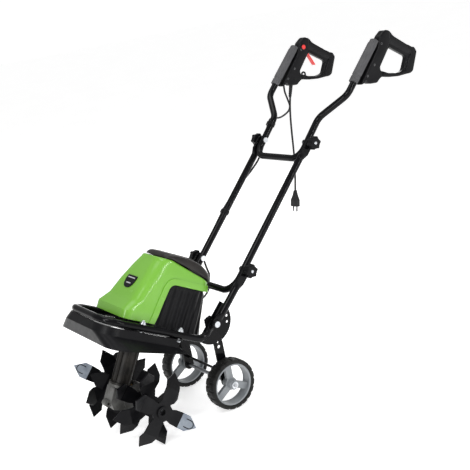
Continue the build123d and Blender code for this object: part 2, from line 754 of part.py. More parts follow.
with BuildPart() as brush_frame:
    with BuildSketch(deck_plane(136, MOTOR_U)):
        Circle(58)
        Circle(MOTOR_SHAFT_R + RUN, mode=Mode.SUBTRACT)
        with PolarLocations(44, 6):
            Circle(8, mode=Mode.SUBTRACT)
    extrude(amount=8)
    with BuildSketch(deck_plane(136, MOTOR_U)):
        with Locations((0, 24), (0, -24)):
            Rectangle(12, 18)
    extrude(amount=-17)
save(brush_frame, "brush_frame")

# ---------------------------------------------------------------- tines
tine_y, tine_z = deck_yz(*TINE_UV)
STAR_PHASE = (45.0, 90.0, 45.0)
ARM = 48.0
BEND_R = 72.0
BEND = 33.0
HUB_IN, HUB_OUT = 36.0, 181.0
SHAFT_END = 164.0
SOCKET_R = 9.0                  # open end of each hub, for an extra star's stub shaft


def tine_plane(x):
    return Plane(origin=(x, tine_y, tine_z), x_dir=(0, 1, 0), z_dir=(1, 0, 0))


with BuildPart() as tine_shaft:
    with BuildSketch(tine_plane(-SHAFT_END)):
        Circle(SHAFT_R)
    extrude(amount=2 * SHAFT_END)
save(tine_shaft, "tine_shaft")

for name, side in SIDES:
    low, high = sorted((side * HUB_IN, side * HUB_OUT))
    with BuildPart() as tine_hub:
        with BuildSketch(tine_plane(low)):
            Circle(HUB_R)
        extrude(amount=high - low)
        with BuildSketch(tine_plane(side * HUB_IN)):
            Circle(SHAFT_R)
        extrude(amount=side * (SHAFT_END - HUB_IN), mode=Mode.SUBTRACT)
        with BuildSketch(tine_plane(side * SHAFT_END)):
            Circle(SOCKET_R)
        extrude(amount=side * (HUB_OUT - SHAFT_END), mode=Mode.SUBTRACT)
    save(tine_hub, f"tine_hub_{name}")


def tine_star(x, phase, first_bend):
    """Flat cross with four pointed arms whose ends bend alternately to either side."""
    half = STAR_THICK / 2
    with BuildPart() as star:
        with BuildSketch(tine_plane(x - half)):
            Circle(31)
            for arm in range(4):
                with Locations(Location((0, 0, 0), (0, 0, phase + 90 * arm))):
                    Polygon((20, -15), (44, -ARM / 2 + 2), (BEND_R, -ARM / 2),
                            (BEND_R, ARM / 2), (44, ARM / 2 - 2), (20, 15), align=None)
            Circle(HUB_R, mode=Mode.SUBTRACT)
        extrude(amount=STAR_THICK)
        for arm in range(4):
            turn = radians(phase + 90 * arm)
            lean = radians(BEND) * first_bend * (1 if arm % 2 == 0 else -1)
            radial = Vector(0, cos(turn), sin(turn))
            across = Vector(0, -sin(turn), cos(turn))
            out = radial * cos(lean) + Vector(sin(lean), 0, 0)
            root = Vector(x, tine_y, tine_z) + radial * BEND_R
            reach = (TINE_R - BEND_R) / cos(lean)
            with BuildSketch(Plane(origin=root, x_dir=out, z_dir=out.cross(across))):
                Polygon((-0.5, -ARM / 2), (reach * 0.42, -ARM / 2), (reach, 0),
                        (reach * 0.42, ARM / 2), (-0.5, ARM / 2), align=None)
            extrude(amount=half, both=True)
            with BuildSketch(Plane(origin=root - across * (ARM / 2), z_dir=across)):
                Circle(half)
            extrude(amount=ARM)
    return star


for index, (station, phase) in enumerate(zip(STAR_X, STAR_PHASE)):
    for name, side in SIDES:
        bend = -side if index != 1 else side
        save(tine_star(side * station, phase, bend), f"tine_star_{index + 1}_{name}")

# ---------------------------------------------------------------- fasteners
with BuildPart() as frame_bolts:
    with BuildSketch(deck_plane(14, 0)):
        with Locations(*BOLT_SPOTS):
            Circle(BOLT_R)
    extrude(amount=-34)
    with BuildSketch(deck_plane(TUBE_R, 0)):
        with Locations(*BOLT_SPOTS):
            Circle(9)
    extrude(amount=2)
    with BuildSketch(deck_plane(TUBE_R + 2, 0)):
        with Locations(*BOLT_SPOTS):
            RegularPolygon(7.4, 6)
    extrude(amount=5)
    with BuildSketch(deck_plane(PLATE_TOP - WALL, 0)):
        with Locations(*BOLT_SPOTS):
            RegularPolygon(7.4, 6)
    extrude(amount=-6)
save(frame_bolts, "frame_bolts")

# ---------------------------------------------------------------- cable on the body
CABLE_R = 3.3


def cable_run(name, points, radii):
    """Solid round cable along a filleted line through (x, y, z) points, y behind the axle."""
    with BuildPart() as cable:
        with BuildLine() as path:
            if len(points) > 2:
                FilletPolyline(*(at(*p) for p in points), radius=radii)
            else:
                Line(at(*points[0]), at(*points[1]))
        with BuildSketch(end_plane(path.line, 0)) as ring:
            Circle(CABLE_R)
        sweep(ring.sketch, path=path.line)
    save(cable, name)
    return path.line


GLAND_UV = (150.5, 112)
gland_y, gland_z = deck_yz(*GLAND_UV)
gland_y -= AXLE_Y
with BuildPart() as cable_gland:
    with BuildSketch(rear_plane(146, GLAND_UV[1])):
        Circle(6.8)
    extrude(amount=12)
    with BuildSketch(rear_plane(158, GLAND_UV[1])):
        RegularPolygon(9.5, 6)
    extrude(amount=9)
    with BuildSketch(rear_plane(140, GLAND_UV[1])):
        Circle(CABLE_R)
    extrude(amount=60, mode=Mode.SUBTRACT)
save(cable_gland, "cable_gland")

out_y, out_z = C, -S
cable_run("cable_lower",
          [(0, gland_y - 3 * out_y, gland_z - 3 * out_z),
           (0, gland_y + 46 * out_y, gland_z + 46 * out_z),
           (-40, gland_y + 50, gland_z - 24)], (16,))

MIDDLE_SLOPE = atan2(FOLD_HIGH[1] - FOLD_LOW[1], FOLD_HIGH[0] - FOLD_LOW[0])
UPPER_SLOPE = atan2(BEND_LOW[1] - HIGH_BAR[1], BEND_LOW[0] - HIGH_BAR[0])
CLIP = 2.0


def beside_leg(x, yz, slope, along, drop=0.0):
    """Station along a leg from a point, dropped square to it."""
    return (x, yz[0] + along * cos(slope) + drop * sin(slope),
            yz[1] + along * sin(slope) - drop * cos(slope))


MIDDLE_CABLE_X = -(MIDDLE_X + TUBE_R + CLIP + CABLE_R)
UPPER_CABLE_X = -(UPPER_LEG_X + TUBE_R + CLIP + CABLE_R)
cable_run("cable_middle",
          [beside_leg(MIDDLE_CABLE_X, FOLD_LOW, MIDDLE_SLOPE, 150),
           beside_leg(MIDDLE_CABLE_X, FOLD_LOW, MIDDLE_SLOPE, 225),
           beside_leg(MIDDLE_CABLE_X, FOLD_LOW, MIDDLE_SLOPE, 300, 16),
           beside_leg(MIDDLE_CABLE_X, FOLD_LOW, MIDDLE_SLOPE, 380, 34)], (120, 160))
cable_run("cable_upper",
          [beside_leg(UPPER_CABLE_X, FOLD_HIGH, UPPER_SLOPE, 44),
           beside_leg(UPPER_CABLE_X, FOLD_HIGH, UPPER_SLOPE, 82),
           (-158, 606, 771), (-188, 646, 812), (-GRIP_X + 3, 654, 848), (-GRIP_X + 3, 656.5, 865)],
          (30, 24, 22, 14))

# ---------------------------------------------------------------- grips
GRIP_OUTLINE = [(612, 889), (731, 1000), (745, 1003), (782, 1014), (801, 1004), (811, 991),
                (887, 938), (897, 937), (906, 920), (877, 862), (866, 856), (812, 857),
                (766, 865), (737, 872), (719, 864), (666, 876), (649, 864), (632, 863)]
GRIP_HOLE = [(788, 958), (860, 913), (838, 872), (812, 869), (770, 877), (737, 892), (735, 901)]
BUTTON_YZ = (764.0, 982.0)
TRIGGER_YZ = (782.0, 962.0)
TRIGGER_LEAN = -61.7
GRIP_HALF = 14.0

grip_low = Vector(*BEND_HIGH)
grip_high = Vector(*TUBE_TOP)
grip_dir = (grip_high - grip_low).normalized()
sleeve_low = grip_high - grip_dir * 160


def grip_plane(x):
    return ground_plane(x)


for name, side in SIDES:
    with BuildPart() as grip:
        with BuildSketch(grip_plane(side * GRIP_X - GRIP_HALF)):
            Polygon(*GRIP_OUTLINE, align=None)
            Polygon(*GRIP_HOLE, align=None, mode=Mode.SUBTRACT)
        extrude(amount=2 * GRIP_HALF)
        chamfer(grip.edges().filter_by(Axis.X, reverse=True), 2.5)
        sleeve = Plane(origin=at(side * GRIP_X, sleeve_low.X, sleeve_low.Y), x_dir=(1, 0, 0),
                       z_dir=(0, grip_dir.X, grip_dir.Y))
        with BuildSketch(sleeve):
            Circle(TUBE_R + 5)
        extrude(amount=166)
        with BuildSketch(sleeve.offset(-20)):
            Circle(TUBE_R)
        extrude(amount=180, mode=Mode.SUBTRACT)
        if side < 0:
            inner = -GRIP_X + GRIP_HALF
            with BuildSketch(ground_plane(inner - 12, *BUTTON_YZ)):
                Circle(8 + RUN)
            extrude(amount=40, mode=Mode.SUBTRACT)
            with BuildSketch(ground_plane(-GRIP_X - 7.4)):
                with Locations(TRIGGER_YZ):
                    Circle(14)
                    Circle(2, mode=Mode.SUBTRACT)
            extrude(amount=14.8, mode=Mode.SUBTRACT)
    save(grip, f"grip_{name}")

with BuildPart() as lock_button:
    with BuildSketch(ground_plane(-GRIP_X + GRIP_HALF - 7.6, *BUTTON_YZ)):
        Circle(8)
    extrude(amount=12)
    chamfer(lock_button.edges().group_by(Axis.X)[-1], 1.5)
save(lock_button, "lock_button")

with BuildPart() as trigger:
    with BuildSketch(ground_plane(-GRIP_X - 7)):
        with Locations(TRIGGER_YZ):
            Circle(7)
        along = Vector(cos(radians(TRIGGER_LEAN)), sin(radians(TRIGGER_LEAN)))
        middle = Vector(*TRIGGER_YZ) + along * 30
        with Locations((middle.X, middle.Y)):
            RectangleRounded(60, 5, 2.4, rotation=TRIGGER_LEAN)
        with Locations(TRIGGER_YZ):
            Circle(2 + RUN, mode=Mode.SUBTRACT)
    extrude(amount=14)
save(trigger, "trigger")

# ---------------------------------------------------------------- mains cord
CORD_R = 3.5
CORD_X = -GRIP_X + 3
CORD = [(690, 866), (675, 820), (664, 766), (657, 704), (652, 637), (643.5, 562), (627.5, 489)]


def corner_radius(a, b, c):
    """Radius that uses 0.45 of the shorter run at a corner."""
    one, two = Vector(*b) - Vector(*a), Vector(*c) - Vector(*b)
    turn = radians(one.get_angle(two))
    return 0.45 * min(one.length, two.length) / tan(turn / 2)


radii = [corner_radius(*CORD[i:i + 3]) for i in range(len(CORD) - 2)]
print("cord radii", [round(r) for r in radii])
with BuildPart() as mains_cord:
    with BuildLine() as cord_path:
        FilletPolyline(*(at(CORD_X, *p) for p in CORD), radius=radii)
    with BuildSketch(end_plane(cord_path.line, 0)) as ring:
        Circle(CORD_R)
    sweep(ring.sketch, path=cord_path.line)
save(mains_cord, "mains_cord")
print("cord length", round(cord_path.wire().length, 1), "volume", round(mains_cord.part.volume),
      "section x length", round(pi * CORD_R ** 2 * cord_path.wire().length))

relief_dir = (Vector(*CORD[1]) - Vector(*CORD[0])).normalized()
relief_plane = Plane(origin=at(CORD_X, CORD[0][0], CORD[0][1]), x_dir=(1, 0, 0),
                     z_dir=(0, relief_dir.X, relief_dir.Y))
with BuildPart() as strain_relief:
    with BuildSketch(relief_plane.offset(3)):
        Circle(7)
    with BuildSketch(relief_plane.offset(47)):
        Circle(4.8)
    loft()
    for ring_at in (16, 24, 32, 40):
        with BuildSketch(relief_plane.offset(ring_at)):
            Circle(7.3 - ring_at / 24)
        extrude(amount=3.5)
    with BuildSketch(relief_plane.offset(-10)):
        Circle(CORD_R)
    extrude(amount=80, mode=Mode.SUBTRACT)
save(strain_relief, "strain_relief")

cord_end = cord_path.line @ 1
cord_dir = cord_path.line % 1


def plug_plane(distance):
    """Plane square to the cord's end, a distance further on."""
    return Plane(origin=cord_end + cord_dir * distance, x_dir=(1, 0, 0), z_dir=cord_dir)


with BuildPart() as plug:
    with BuildSketch(plug_plane(0)):
        Circle(6)
    with BuildSketch(plug_plane(18)):
        RectangleRounded(20, 15, 5)
    loft()
    with BuildSketch(plug_plane(18)):
        RectangleRounded(20, 15, 5)
    with BuildSketch(plug_plane(36)):
        RectangleRounded(36, 22, 8)
    loft()
    with BuildSketch(plug_plane(36)):
        RectangleRounded(36, 22, 8)
    extrude(amount=22)
    with BuildSketch(plug_plane(58)):
        with Locations((-9.5, 0), (9.5, 0)):
            Circle(2.4)
    extrude(amount=19)
save(plug, "plug")
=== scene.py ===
"""Mini cultivator: camera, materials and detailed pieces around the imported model.

Metres, +Z up. Outlines, routes and profiles below are in millimetres. They use either the ground
frame, where y counts back from the wheel axle, or the deck frame, where u runs back along the
sloping deck and v stands square to it. ground_point() and deck_point() turn them into metres.
"""
import json
import math
from math import cos, pi, radians, sin

import bmesh
import bpy
from mathutils import Matrix, Vector


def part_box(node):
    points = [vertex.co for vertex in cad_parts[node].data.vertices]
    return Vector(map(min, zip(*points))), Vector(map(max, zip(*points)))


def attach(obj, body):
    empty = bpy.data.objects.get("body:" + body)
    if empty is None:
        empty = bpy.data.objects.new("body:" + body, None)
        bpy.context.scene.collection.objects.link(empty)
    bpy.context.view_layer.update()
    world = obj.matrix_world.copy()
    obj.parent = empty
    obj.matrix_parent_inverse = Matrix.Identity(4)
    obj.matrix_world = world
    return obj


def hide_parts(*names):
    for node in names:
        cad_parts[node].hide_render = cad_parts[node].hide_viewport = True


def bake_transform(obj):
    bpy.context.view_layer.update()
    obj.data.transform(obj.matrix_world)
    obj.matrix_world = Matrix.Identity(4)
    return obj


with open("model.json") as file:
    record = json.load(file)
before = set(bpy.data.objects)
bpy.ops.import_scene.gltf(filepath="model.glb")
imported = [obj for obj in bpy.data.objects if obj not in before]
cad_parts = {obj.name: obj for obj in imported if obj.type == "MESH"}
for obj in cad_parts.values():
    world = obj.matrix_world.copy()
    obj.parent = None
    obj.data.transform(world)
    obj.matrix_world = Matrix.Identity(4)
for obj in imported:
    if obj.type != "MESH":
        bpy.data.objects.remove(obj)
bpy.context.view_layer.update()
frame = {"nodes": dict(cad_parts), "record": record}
nodes = frame["nodes"]

# ---------------------------------------------------------------- the machine's own frames
AXLE_Y = -260.2
DECK_TILT = radians(31.0)
DECK_ORIGIN = (-176.6, 320.2)
C, S = cos(DECK_TILT), sin(DECK_TILT)
PIVOT = (-5.0, 281.0)
FOLD_LOW = (137.0, 407.0)
FOLD_HIGH = (467.0, 722.0)
TINE_UV = (26.0, -220.5)
WHEEL_X = 132.0
WHEEL_R = 80.0
GRIP_X = 201.0
SIDES = (("left", 1), ("right", -1))     # name and direction along X


def ground_point(x, y, z):
    """Metres in the part's frame from millimetres, with y counted back from the wheel axle."""
    return Vector((x, AXLE_Y + y, z)) / 1000


def deck_point(x, u, v):
    """Metres from the deck's own x, u (back along it) and v (square to it)."""
    y = DECK_ORIGIN[0] + u * C + v * S
    z = DECK_ORIGIN[1] - u * S + v * C
    return ground_point(x, y, z)


X_AXIS = Vector((1, 0, 0))
DECK_U = Vector((0, C, -S))
DECK_V = Vector((0, S, C))

# ---------------------------------------------------------------- camera, light and floor
CAMERA_AT = ground_point(2260.1, -1245.9, 1253.9)
CAMERA_RIGHT = Vector((0.57548, 0.79649, -0.18557))
CAMERA_UP = Vector((-0.12400, 0.30927, 0.94286))
LENS = 66.7                     # millimetres, on a sensor SENSOR wide
SENSOR = 36
CLIP = (0.05, 30)

# name, place in metres, size in metres, watts
LIGHTS = (("key", (1.3, -1.9, 3.0), (0.9, 0.9), 26),
          ("strip", (2.5, 0.6, 1.6), (0.10, 2.2), 22),
          ("rim", (-1.6, 2.2, 1.8), (0.2, 2.0), 12),
          ("front", (0.9, -2.8, 1.5), (0.3, 1.6), 20),
          ("top", (-0.4, 0.2, 3.0), (1.6, 2.2), 22))
LIGHT_TARGET = (0, -0.1, 0.4)
HORIZON_BAND = (0.05, 0.12)     # height on the unit sphere where the horizon fades into sky
HORIZON_STRENGTH = 1.05
SKY_STRENGTH = 0.42
FLOOR_SIZE = 400
FLOOR_DROP = 0.0005             # keeps the floor clear of the tyres' lowest faces
FLOOR_GLOW = 0.6


def link_object(name, data):
    """New object around the data, in the scene."""
    thing = bpy.data.objects.new(name, data)
    bpy.context.scene.collection.objects.link(thing)
    return thing


def make_camera():
    """Camera that looks from the front left, a little above the machine."""
    camera = link_object("camera", bpy.data.cameras.new("camera"))
    camera.data.lens = LENS
    camera.data.sensor_width = SENSOR
    camera.data.clip_start, camera.data.clip_end = CLIP
    right, up = CAMERA_RIGHT.normalized(), CAMERA_UP.normalized()
    back = right.cross(up).normalized()
    turn = Matrix((right, up, back)).transposed().to_4x4()
    camera.matrix_world = Matrix.Translation(CAMERA_AT) @ turn
    bpy.context.scene.camera = camera


def area_light(name, place, target, size, power):
    """Rectangular light that faces its target."""
    light = link_object(name, bpy.data.lights.new(name, "AREA"))
    light.data.shape = "RECTANGLE"
    light.data.size, light.data.size_y = size
    light.data.energy = power
    light.location = place
    light.rotation_euler = (Vector(target) - Vector(place)).to_track_quat("-Z", "Y").to_euler()


def make_studio():
    """Soft grey world with a white horizon, five area lights and a glowing pale floor."""
    scene = bpy.context.scene
    scene.view_settings.view_transform = "Standard"
    scene.view_settings.look = "None"
    world = bpy.data.worlds.new("studio")
    world.use_nodes = True
    background = world.node_tree.nodes["Background"]
    background.inputs["Color"].default_value = (1, 1, 1, 1)
    coords = add_node(world.node_tree, "ShaderNodeTexCoord")
    split = add_node(world.node_tree, "ShaderNodeSeparateXYZ")
    band = add_node(world.node_tree, "ShaderNodeMapRange")
    for key, value in zip(("From Min", "From Max", "To Min", "To Max"),
                          (*HORIZON_BAND, HORIZON_STRENGTH, SKY_STRENGTH)):
        band.inputs[key].default_value = value
    world.node_tree.links.new(coords.outputs["Generated"], split.inputs["Vector"])
    world.node_tree.links.new(split.outputs["Z"], band.inputs["Value"])
    world.node_tree.links.new(band.outputs["Result"], background.inputs["Strength"])
    scene.world = world
    for name, place, size, power in LIGHTS:
        area_light(name, place, LIGHT_TARGET, size, power)
    bpy.ops.mesh.primitive_plane_add(size=FLOOR_SIZE, location=(0, 0, -FLOOR_DROP))
    floor = bpy.context.object
    floor.name = "floor"
    floor.data.materials.append(floor_material())


# ---------------------------------------------------------------- materials
RAMP_STOPS = (0.35, 0.65)       # noise values where a colour ramp starts and ends
WEAR_STOPS = (0.3, 0.7)         # noise values where roughness starts and ends
COAT_ROUGHNESS = 0.12


def new_material(name):
    """A material with its node tree and its shader."""
    material = bpy.data.materials.new(name)
    material.use_nodes = True
    tree = material.node_tree
    return material, tree, tree.nodes["Principled BSDF"]


def add_node(tree, kind, **values):
    """New shader node with the named inputs or settings."""
    node = tree.nodes.new(kind)
    for key, value in values.items():
        if key in node.inputs:
            node.inputs[key].default_value = value
        else:
            setattr(node, key, value)
    return node


def noise(tree, scale, detail=3.0, stretch=None):
    """Noise in object coordinates, so that it doesn't depend on UVs."""
    coords = add_node(tree, "ShaderNodeTexCoord")
    mapping = add_node(tree, "ShaderNodeMapping")
    if stretch:
        mapping.inputs["Scale"].default_value = stretch
    tree.links.new(coords.outputs["Object"], mapping.inputs["Vector"])
    texture = add_node(tree, "ShaderNodeTexNoise", Scale=scale, Detail=detail)
    tree.links.new(mapping.outputs["Vector"], texture.inputs["Vector"])
    return texture


def ramp(tree, source, low, high):
    """Colour ramp between two colours, driven by a noise."""
    node = add_node(tree, "ShaderNodeValToRGB")
    for element, at, colour in zip(node.color_ramp.elements, RAMP_STOPS, (low, high)):
        element.position = at
        element.color = (*colour, 1)
    tree.links.new(source, node.inputs["Fac"])
    return node


def bump(tree, shader, source, strength, distance):
    """Grain height into the shader's normal."""
    node = add_node(tree, "ShaderNodeBump", Strength=strength, Distance=distance)
    tree.links.new(source, node.inputs["Height"])
    tree.links.new(node.outputs["Normal"], shader.inputs["Normal"])


def surface(name, colour, colour_2, rough, rough_2, metal=0.0, grain=900.0, depth=0.00004,
            patch=14.0, strength=0.35, coat=0.0, specular=0.5, stretch=None):
    """Base colour and roughness vary over patches; a fine grain gives the surface its tooth."""
    material, tree, shader = new_material(name)
    patches = noise(tree, patch, 4.0, stretch)
    tint = ramp(tree, patches.outputs["Fac"], colour, colour_2)
    tree.links.new(tint.outputs["Color"], shader.inputs["Base Color"])
    wear = noise(tree, patch * 6, 5.0, stretch)
    gloss = add_node(tree, "ShaderNodeMapRange")
    for key, value in zip(("From Min", "From Max", "To Min", "To Max"),
                          (*WEAR_STOPS, rough, rough_2)):
        gloss.inputs[key].default_value = value
    tree.links.new(wear.outputs["Fac"], gloss.inputs["Value"])
    tree.links.new(gloss.outputs["Result"], shader.inputs["Roughness"])
    fine = noise(tree, grain, 2.0, stretch)
    bump(tree, shader, fine.outputs["Fac"], strength, depth)
    shader.inputs["Metallic"].default_value = metal
    shader.inputs["Coat Weight"].default_value = coat
    shader.inputs["Coat Roughness"].default_value = COAT_ROUGHNESS
    shader.inputs["Specular IOR Level"].default_value = specular
    return material


def floor_material():
    """Near-white floor that glows a little, so that it blends into the horizon."""
    material, tree, shader = new_material("floor_pale")
    clouds = noise(tree, 2.0, 2.0)
    tint = ramp(tree, clouds.outputs["Fac"], (0.90, 0.90, 0.90), (0.94, 0.94, 0.94))
    tree.links.new(tint.outputs["Color"], shader.inputs["Base Color"])
    shader.inputs["Roughness"].default_value = 0.9
    shader.inputs["Specular IOR Level"].default_value = 0.1
    shader.inputs["Emission Color"].default_value = (1, 1, 1, 1)
    shader.inputs["Emission Strength"].default_value = FLOOR_GLOW
    return material


def make_materials():
    """One entry for each material, under the record's slot names where there is one."""
    return {
        "frame_black": surface("frame_black", (0.003, 0.003, 0.0035), (0.005, 0.005, 0.006),
                               0.10, 0.15, grain=300, depth=0.00001, strength=0.05,
                               specular=0.13),
        "zinc": surface("zinc", (0.55, 0.57, 0.60), (0.72, 0.74, 0.76), 0.22, 0.4, metal=1.0,
                        grain=500, depth=0.00002),
        "machined_steel": surface("machined_steel", (0.32, 0.33, 0.35), (0.46, 0.47, 0.49),
                                  0.25, 0.42, metal=1.0, grain=900, stretch=(1, 8, 8)),
        "tine_paint": surface("tine_paint", (0.003, 0.003, 0.004), (0.008, 0.008, 0.009),
                              0.28, 0.45, grain=300, depth=0.00005, patch=22, specular=0.12),
        # Painted highlight: light blue-grey colour standing in for the reflection on one glossy
        # tine tip.
        "tine_tip_painted_highlight": surface("tine_tip_painted_highlight", (0.22, 0.25, 0.30), (0.33, 0.37, 0.42), 0.34, 0.5,
                            metal=0.35, grain=500, depth=0.00007, patch=40),
        "hood_green": surface("hood_green", (0.165, 0.42, 0.04), (0.185, 0.45, 0.048),
                              0.22, 0.28, grain=600, depth=0.00001, strength=0.05, coat=0.25,
                              specular=0.35, patch=3),
        "black_plastic": surface("black_plastic", (0.004, 0.004, 0.005), (0.008, 0.008, 0.009),
                                 0.30, 0.40, grain=1100, depth=0.00003, strength=0.2,
                                 specular=0.13),
        "grip_rubber": surface("grip_rubber", (0.006, 0.006, 0.007), (0.010, 0.010, 0.011),
                               0.45, 0.6, grain=900, depth=0.00006, strength=0.3,
                               specular=0.18),
        "shell_grey": surface("shell_grey", (0.060, 0.060, 0.063), (0.085, 0.085, 0.090),
                              0.45, 0.6, grain=1100, depth=0.00005, strength=0.3,
                              specular=0.3),
        "cap_brown": surface("cap_brown", (0.016, 0.014, 0.013), (0.024, 0.021, 0.019),
                             0.34, 0.46, grain=1100, depth=0.00004, strength=0.3,
                             specular=0.3),
        "grey_plastic": surface("grey_plastic", (0.20, 0.215, 0.23), (0.27, 0.285, 0.30),
                                0.34, 0.46, grain=900, depth=0.00004, strength=0.25),
        "red_plastic": surface("red_plastic", (0.72, 0.02, 0.018), (0.82, 0.035, 0.03),
                               0.25, 0.36, grain=900, depth=0.00003, coat=0.2),
        "tyre_black": surface("tyre_black", (0.006, 0.006, 0.006), (0.013, 0.013, 0.012),
                              0.4, 0.55, grain=600, depth=0.00006, strength=0.3, specular=0.18),
        "cord_black": surface("cord_black", (0.006, 0.006, 0.007), (0.012, 0.012, 0.013),
                              0.38, 0.5, grain=900, depth=0.00003, specular=0.3),
        "cast_light": surface("cast_light", (0.085, 0.085, 0.08), (0.17, 0.17, 0.165),
                              0.42, 0.6, metal=0.5, grain=260, depth=0.00025, patch=30,
                              strength=0.5),
        "cast_dark": surface("cast_dark", (0.010, 0.009, 0.008), (0.030, 0.027, 0.023),
                             0.34, 0.5, metal=0.2, grain=260, depth=0.0002, patch=26,
                             strength=0.4, specular=0.3),
        "motor_steel": surface("motor_steel", (0.12, 0.12, 0.125), (0.2, 0.2, 0.205),
                               0.4, 0.55, metal=0.6, grain=600),
        "bronze": surface("bronze", (0.42, 0.27, 0.1), (0.56, 0.38, 0.15), 0.3, 0.45, metal=1.0),
        "label_white": surface("label_white", (0.45, 0.47, 0.48), (0.55, 0.57, 0.58), 0.4, 0.5),
    }


# ---------------------------------------------------------------- mesh helpers
def link_mesh(name, verts, faces, material, body, smooth_angle=35.0):
    """A new mesh piece that rides on a body, smooth except at its creases."""
    mesh = bpy.data.meshes.new(name)
    mesh.from_pydata([tuple(v) for v in verts], [], faces)
    tidy = bmesh.new()
    tidy.from_mesh(mesh)
    bmesh.ops.remove_doubles(tidy, verts=tidy.verts, dist=1e-6)
    bmesh.ops.recalc_face_normals(tidy, faces=tidy.faces)
    tidy.to_mesh(mesh)
    tidy.free()
    piece = link_object(name, mesh)
    mesh.materials.append(material)
    finish_mesh(piece, smooth_angle)
    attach(piece, body)
    return piece


def finish_mesh(piece, smooth_angle=35.0):
    """Smooth shading, with sharp edges above the angle."""
    mesh = piece.data
    for face in mesh.polygons:
        face.use_smooth = True
    mesh.set_sharp_from_angle(angle=radians(smooth_angle))


def add_bevel(piece, width, segments=2, angle=40.0):
    """Rounded edges, width in metres, where faces meet above the angle."""
    modifier = piece.modifiers.new("bevel", "BEVEL")
    modifier.width = width
    modifier.segments = segments
    modifier.limit_method = "ANGLE"
    modifier.angle_limit = radians(angle)
    modifier.harden_normals = False


def add_wall(piece, thickness):
    """Inward thickness for an open shell."""
    modifier = piece.modifiers.new("wall", "SOLIDIFY")
    modifier.thickness = thickness
    modifier.offset = -1


def rings_to_faces(rings, count):
    """Side faces between rings of count points each."""
    faces = []
    for ring in range(rings - 1):
        for point in range(count):
            after = (point + 1) % count
            faces.append((ring * count + point, ring * count + after,
                          (ring + 1) * count + after, (ring + 1) * count + point))
    return faces


def capped_faces(rings, count):
    """Side faces between the rings, and a flat face on each end."""
    faces = rings_to_faces(rings, count)
    faces.append(tuple(range(count - 1, -1, -1)))
    faces.append(tuple(range((rings - 1) * count, rings * count)))
    return faces


def plan_ring(half, front, rear, radius, corner=10, straight=12):
    """Rounded rectangle in plan as (x, u) points, starting at the middle of the front edge."""
    radius = min(radius, half - 0.1, (rear - front) / 2 - 0.1)
    points = []
    centres = ((half - radius, front + radius, -90), (half - radius, rear - radius, 0),
               (-half + radius, rear - radius, 90), (-half + radius, front + radius, 180))
    previous = None
    for x, u, start in centres:
        arc = []
        for step in range(corner + 1):
            turn = radians(start + 90 * step / corner)
            arc.append((x + radius * cos(turn), u + radius * sin(turn)))
        if previous:
            for step in range(1, straight):
                part = step / straight
                points.append(tuple(a + (b - a) * part for a, b in zip(previous, arc[0])))
        points.extend(arc)
        previous = arc[-1]
    for step in range(1, straight):
        part = step / straight
        points.append(tuple(a + (b - a) * part for a, b in zip(previous, points[0])))
    return points


def along_table(table, value):
    """Straight-line interpolation in rows of (key, numbers...)."""
    if value <= table[0][0]:
        return table[0][1:]
    for low, high in zip(table, table[1:]):
        if value <= high[0]:
            part = (value - low[0]) / (high[0] - low[0])
            return tuple(a + (b - a) * part for a, b in zip(low[1:], high[1:]))
    return table[-1][1:]


def tube_mesh(path, radius, sides=16):
    """Vertices and faces of a round tube along points, with closed ends."""
    verts = []
    normal = None
    for index, point in enumerate(path):
        ahead = path[min(index + 1, len(path) - 1)] - path[max(index - 1, 0)]
        ahead.normalize()
        if normal is None:
            normal = ahead.orthogonal().normalized()
        normal = (normal - ahead * normal.dot(ahead)).normalized()
        other = ahead.cross(normal)
        for side in range(sides):
            turn = 2 * pi * side / sides
            verts.append(point + (normal * cos(turn) + other * sin(turn)) * radius)
    return verts, capped_faces(len(path), sides)


def spline_points(points, steps=8):
    """Catmull-Rom points through a short list of places."""
    padded = [points[0] * 2 - points[1], *points, points[-1] * 2 - points[-2]]
    result = []
    for a, b, c, d in zip(padded, padded[1:], padded[2:], padded[3:]):
        for step in range(steps):
            t = step / steps
            result.append(0.5 * ((2 * b) + (c - a) * t + (2 * a - 5 * b + 4 * c - d) * t * t
                                 + (3 * b - a - 3 * c + d) * t ** 3))
    result.append(points[-1])
    return result


def prism(name, outline, place, body, material, width, low, high):
    """Extrude a closed (p, q) outline; place(p, q, w) gives metres, w from low to high."""
    verts = [place(p, q, low) for p, q in outline] + [place(p, q, high) for p, q in outline]
    piece = link_mesh(name, verts, capped_faces(2, len(outline)), material, body)
    add_bevel(piece, width)
    return piece


def disc(name, centre, axis, profile, material, body, sides=48):
    """Turned piece from (distance along the axis, radius) rows in millimetres."""
    axis = axis.normalized()
    normal = axis.orthogonal().normalized()
    other = axis.cross(normal)
    verts = []
    for along, radius in profile:
        for side in range(sides):
            turn = 2 * pi * side / sides
            verts.append(centre + axis * along / 1000
                         + (normal * cos(turn) + other * sin(turn)) * radius / 1000)
    return link_mesh(name, verts, capped_faces(len(profile), sides), material, body, 30)


# ---------------------------------------------------------------- cords
CORD_X = -GRIP_X + 3
MAINS_ROUTE = ((690, 866), (675, 820), (664, 766), (657, 704), (652, 637), (643.5, 562),
               (627.5, 489))
CORD_DIAMETER = 0.007


def make_mains_cord(materials):
    """The short mains lead that hangs from the switch grip and ends in the plug."""
    curve = bpy.data.curves.new("mains_flex", "CURVE")
    curve.dimensions = "3D"
    curve.bevel_depth = CORD_DIAMETER / 2
    curve.bevel_resolution = 6
    curve.use_fill_caps = True
    spline = curve.splines.new("NURBS")
    spline.points.add(len(MAINS_ROUTE) - 1)
    for point, (y, z) in zip(spline.points, MAINS_ROUTE):
        point.co = (*ground_point(CORD_X, y, z), 1)
    spline.order_u = 3
    spline.use_endpoint_u = True
    curve.resolution_u = 12
    flex = link_object("mains_flex", curve)
    curve.materials.append(materials["cord_black"])
    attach(flex, "upper_handle")
    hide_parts("mains_cord")


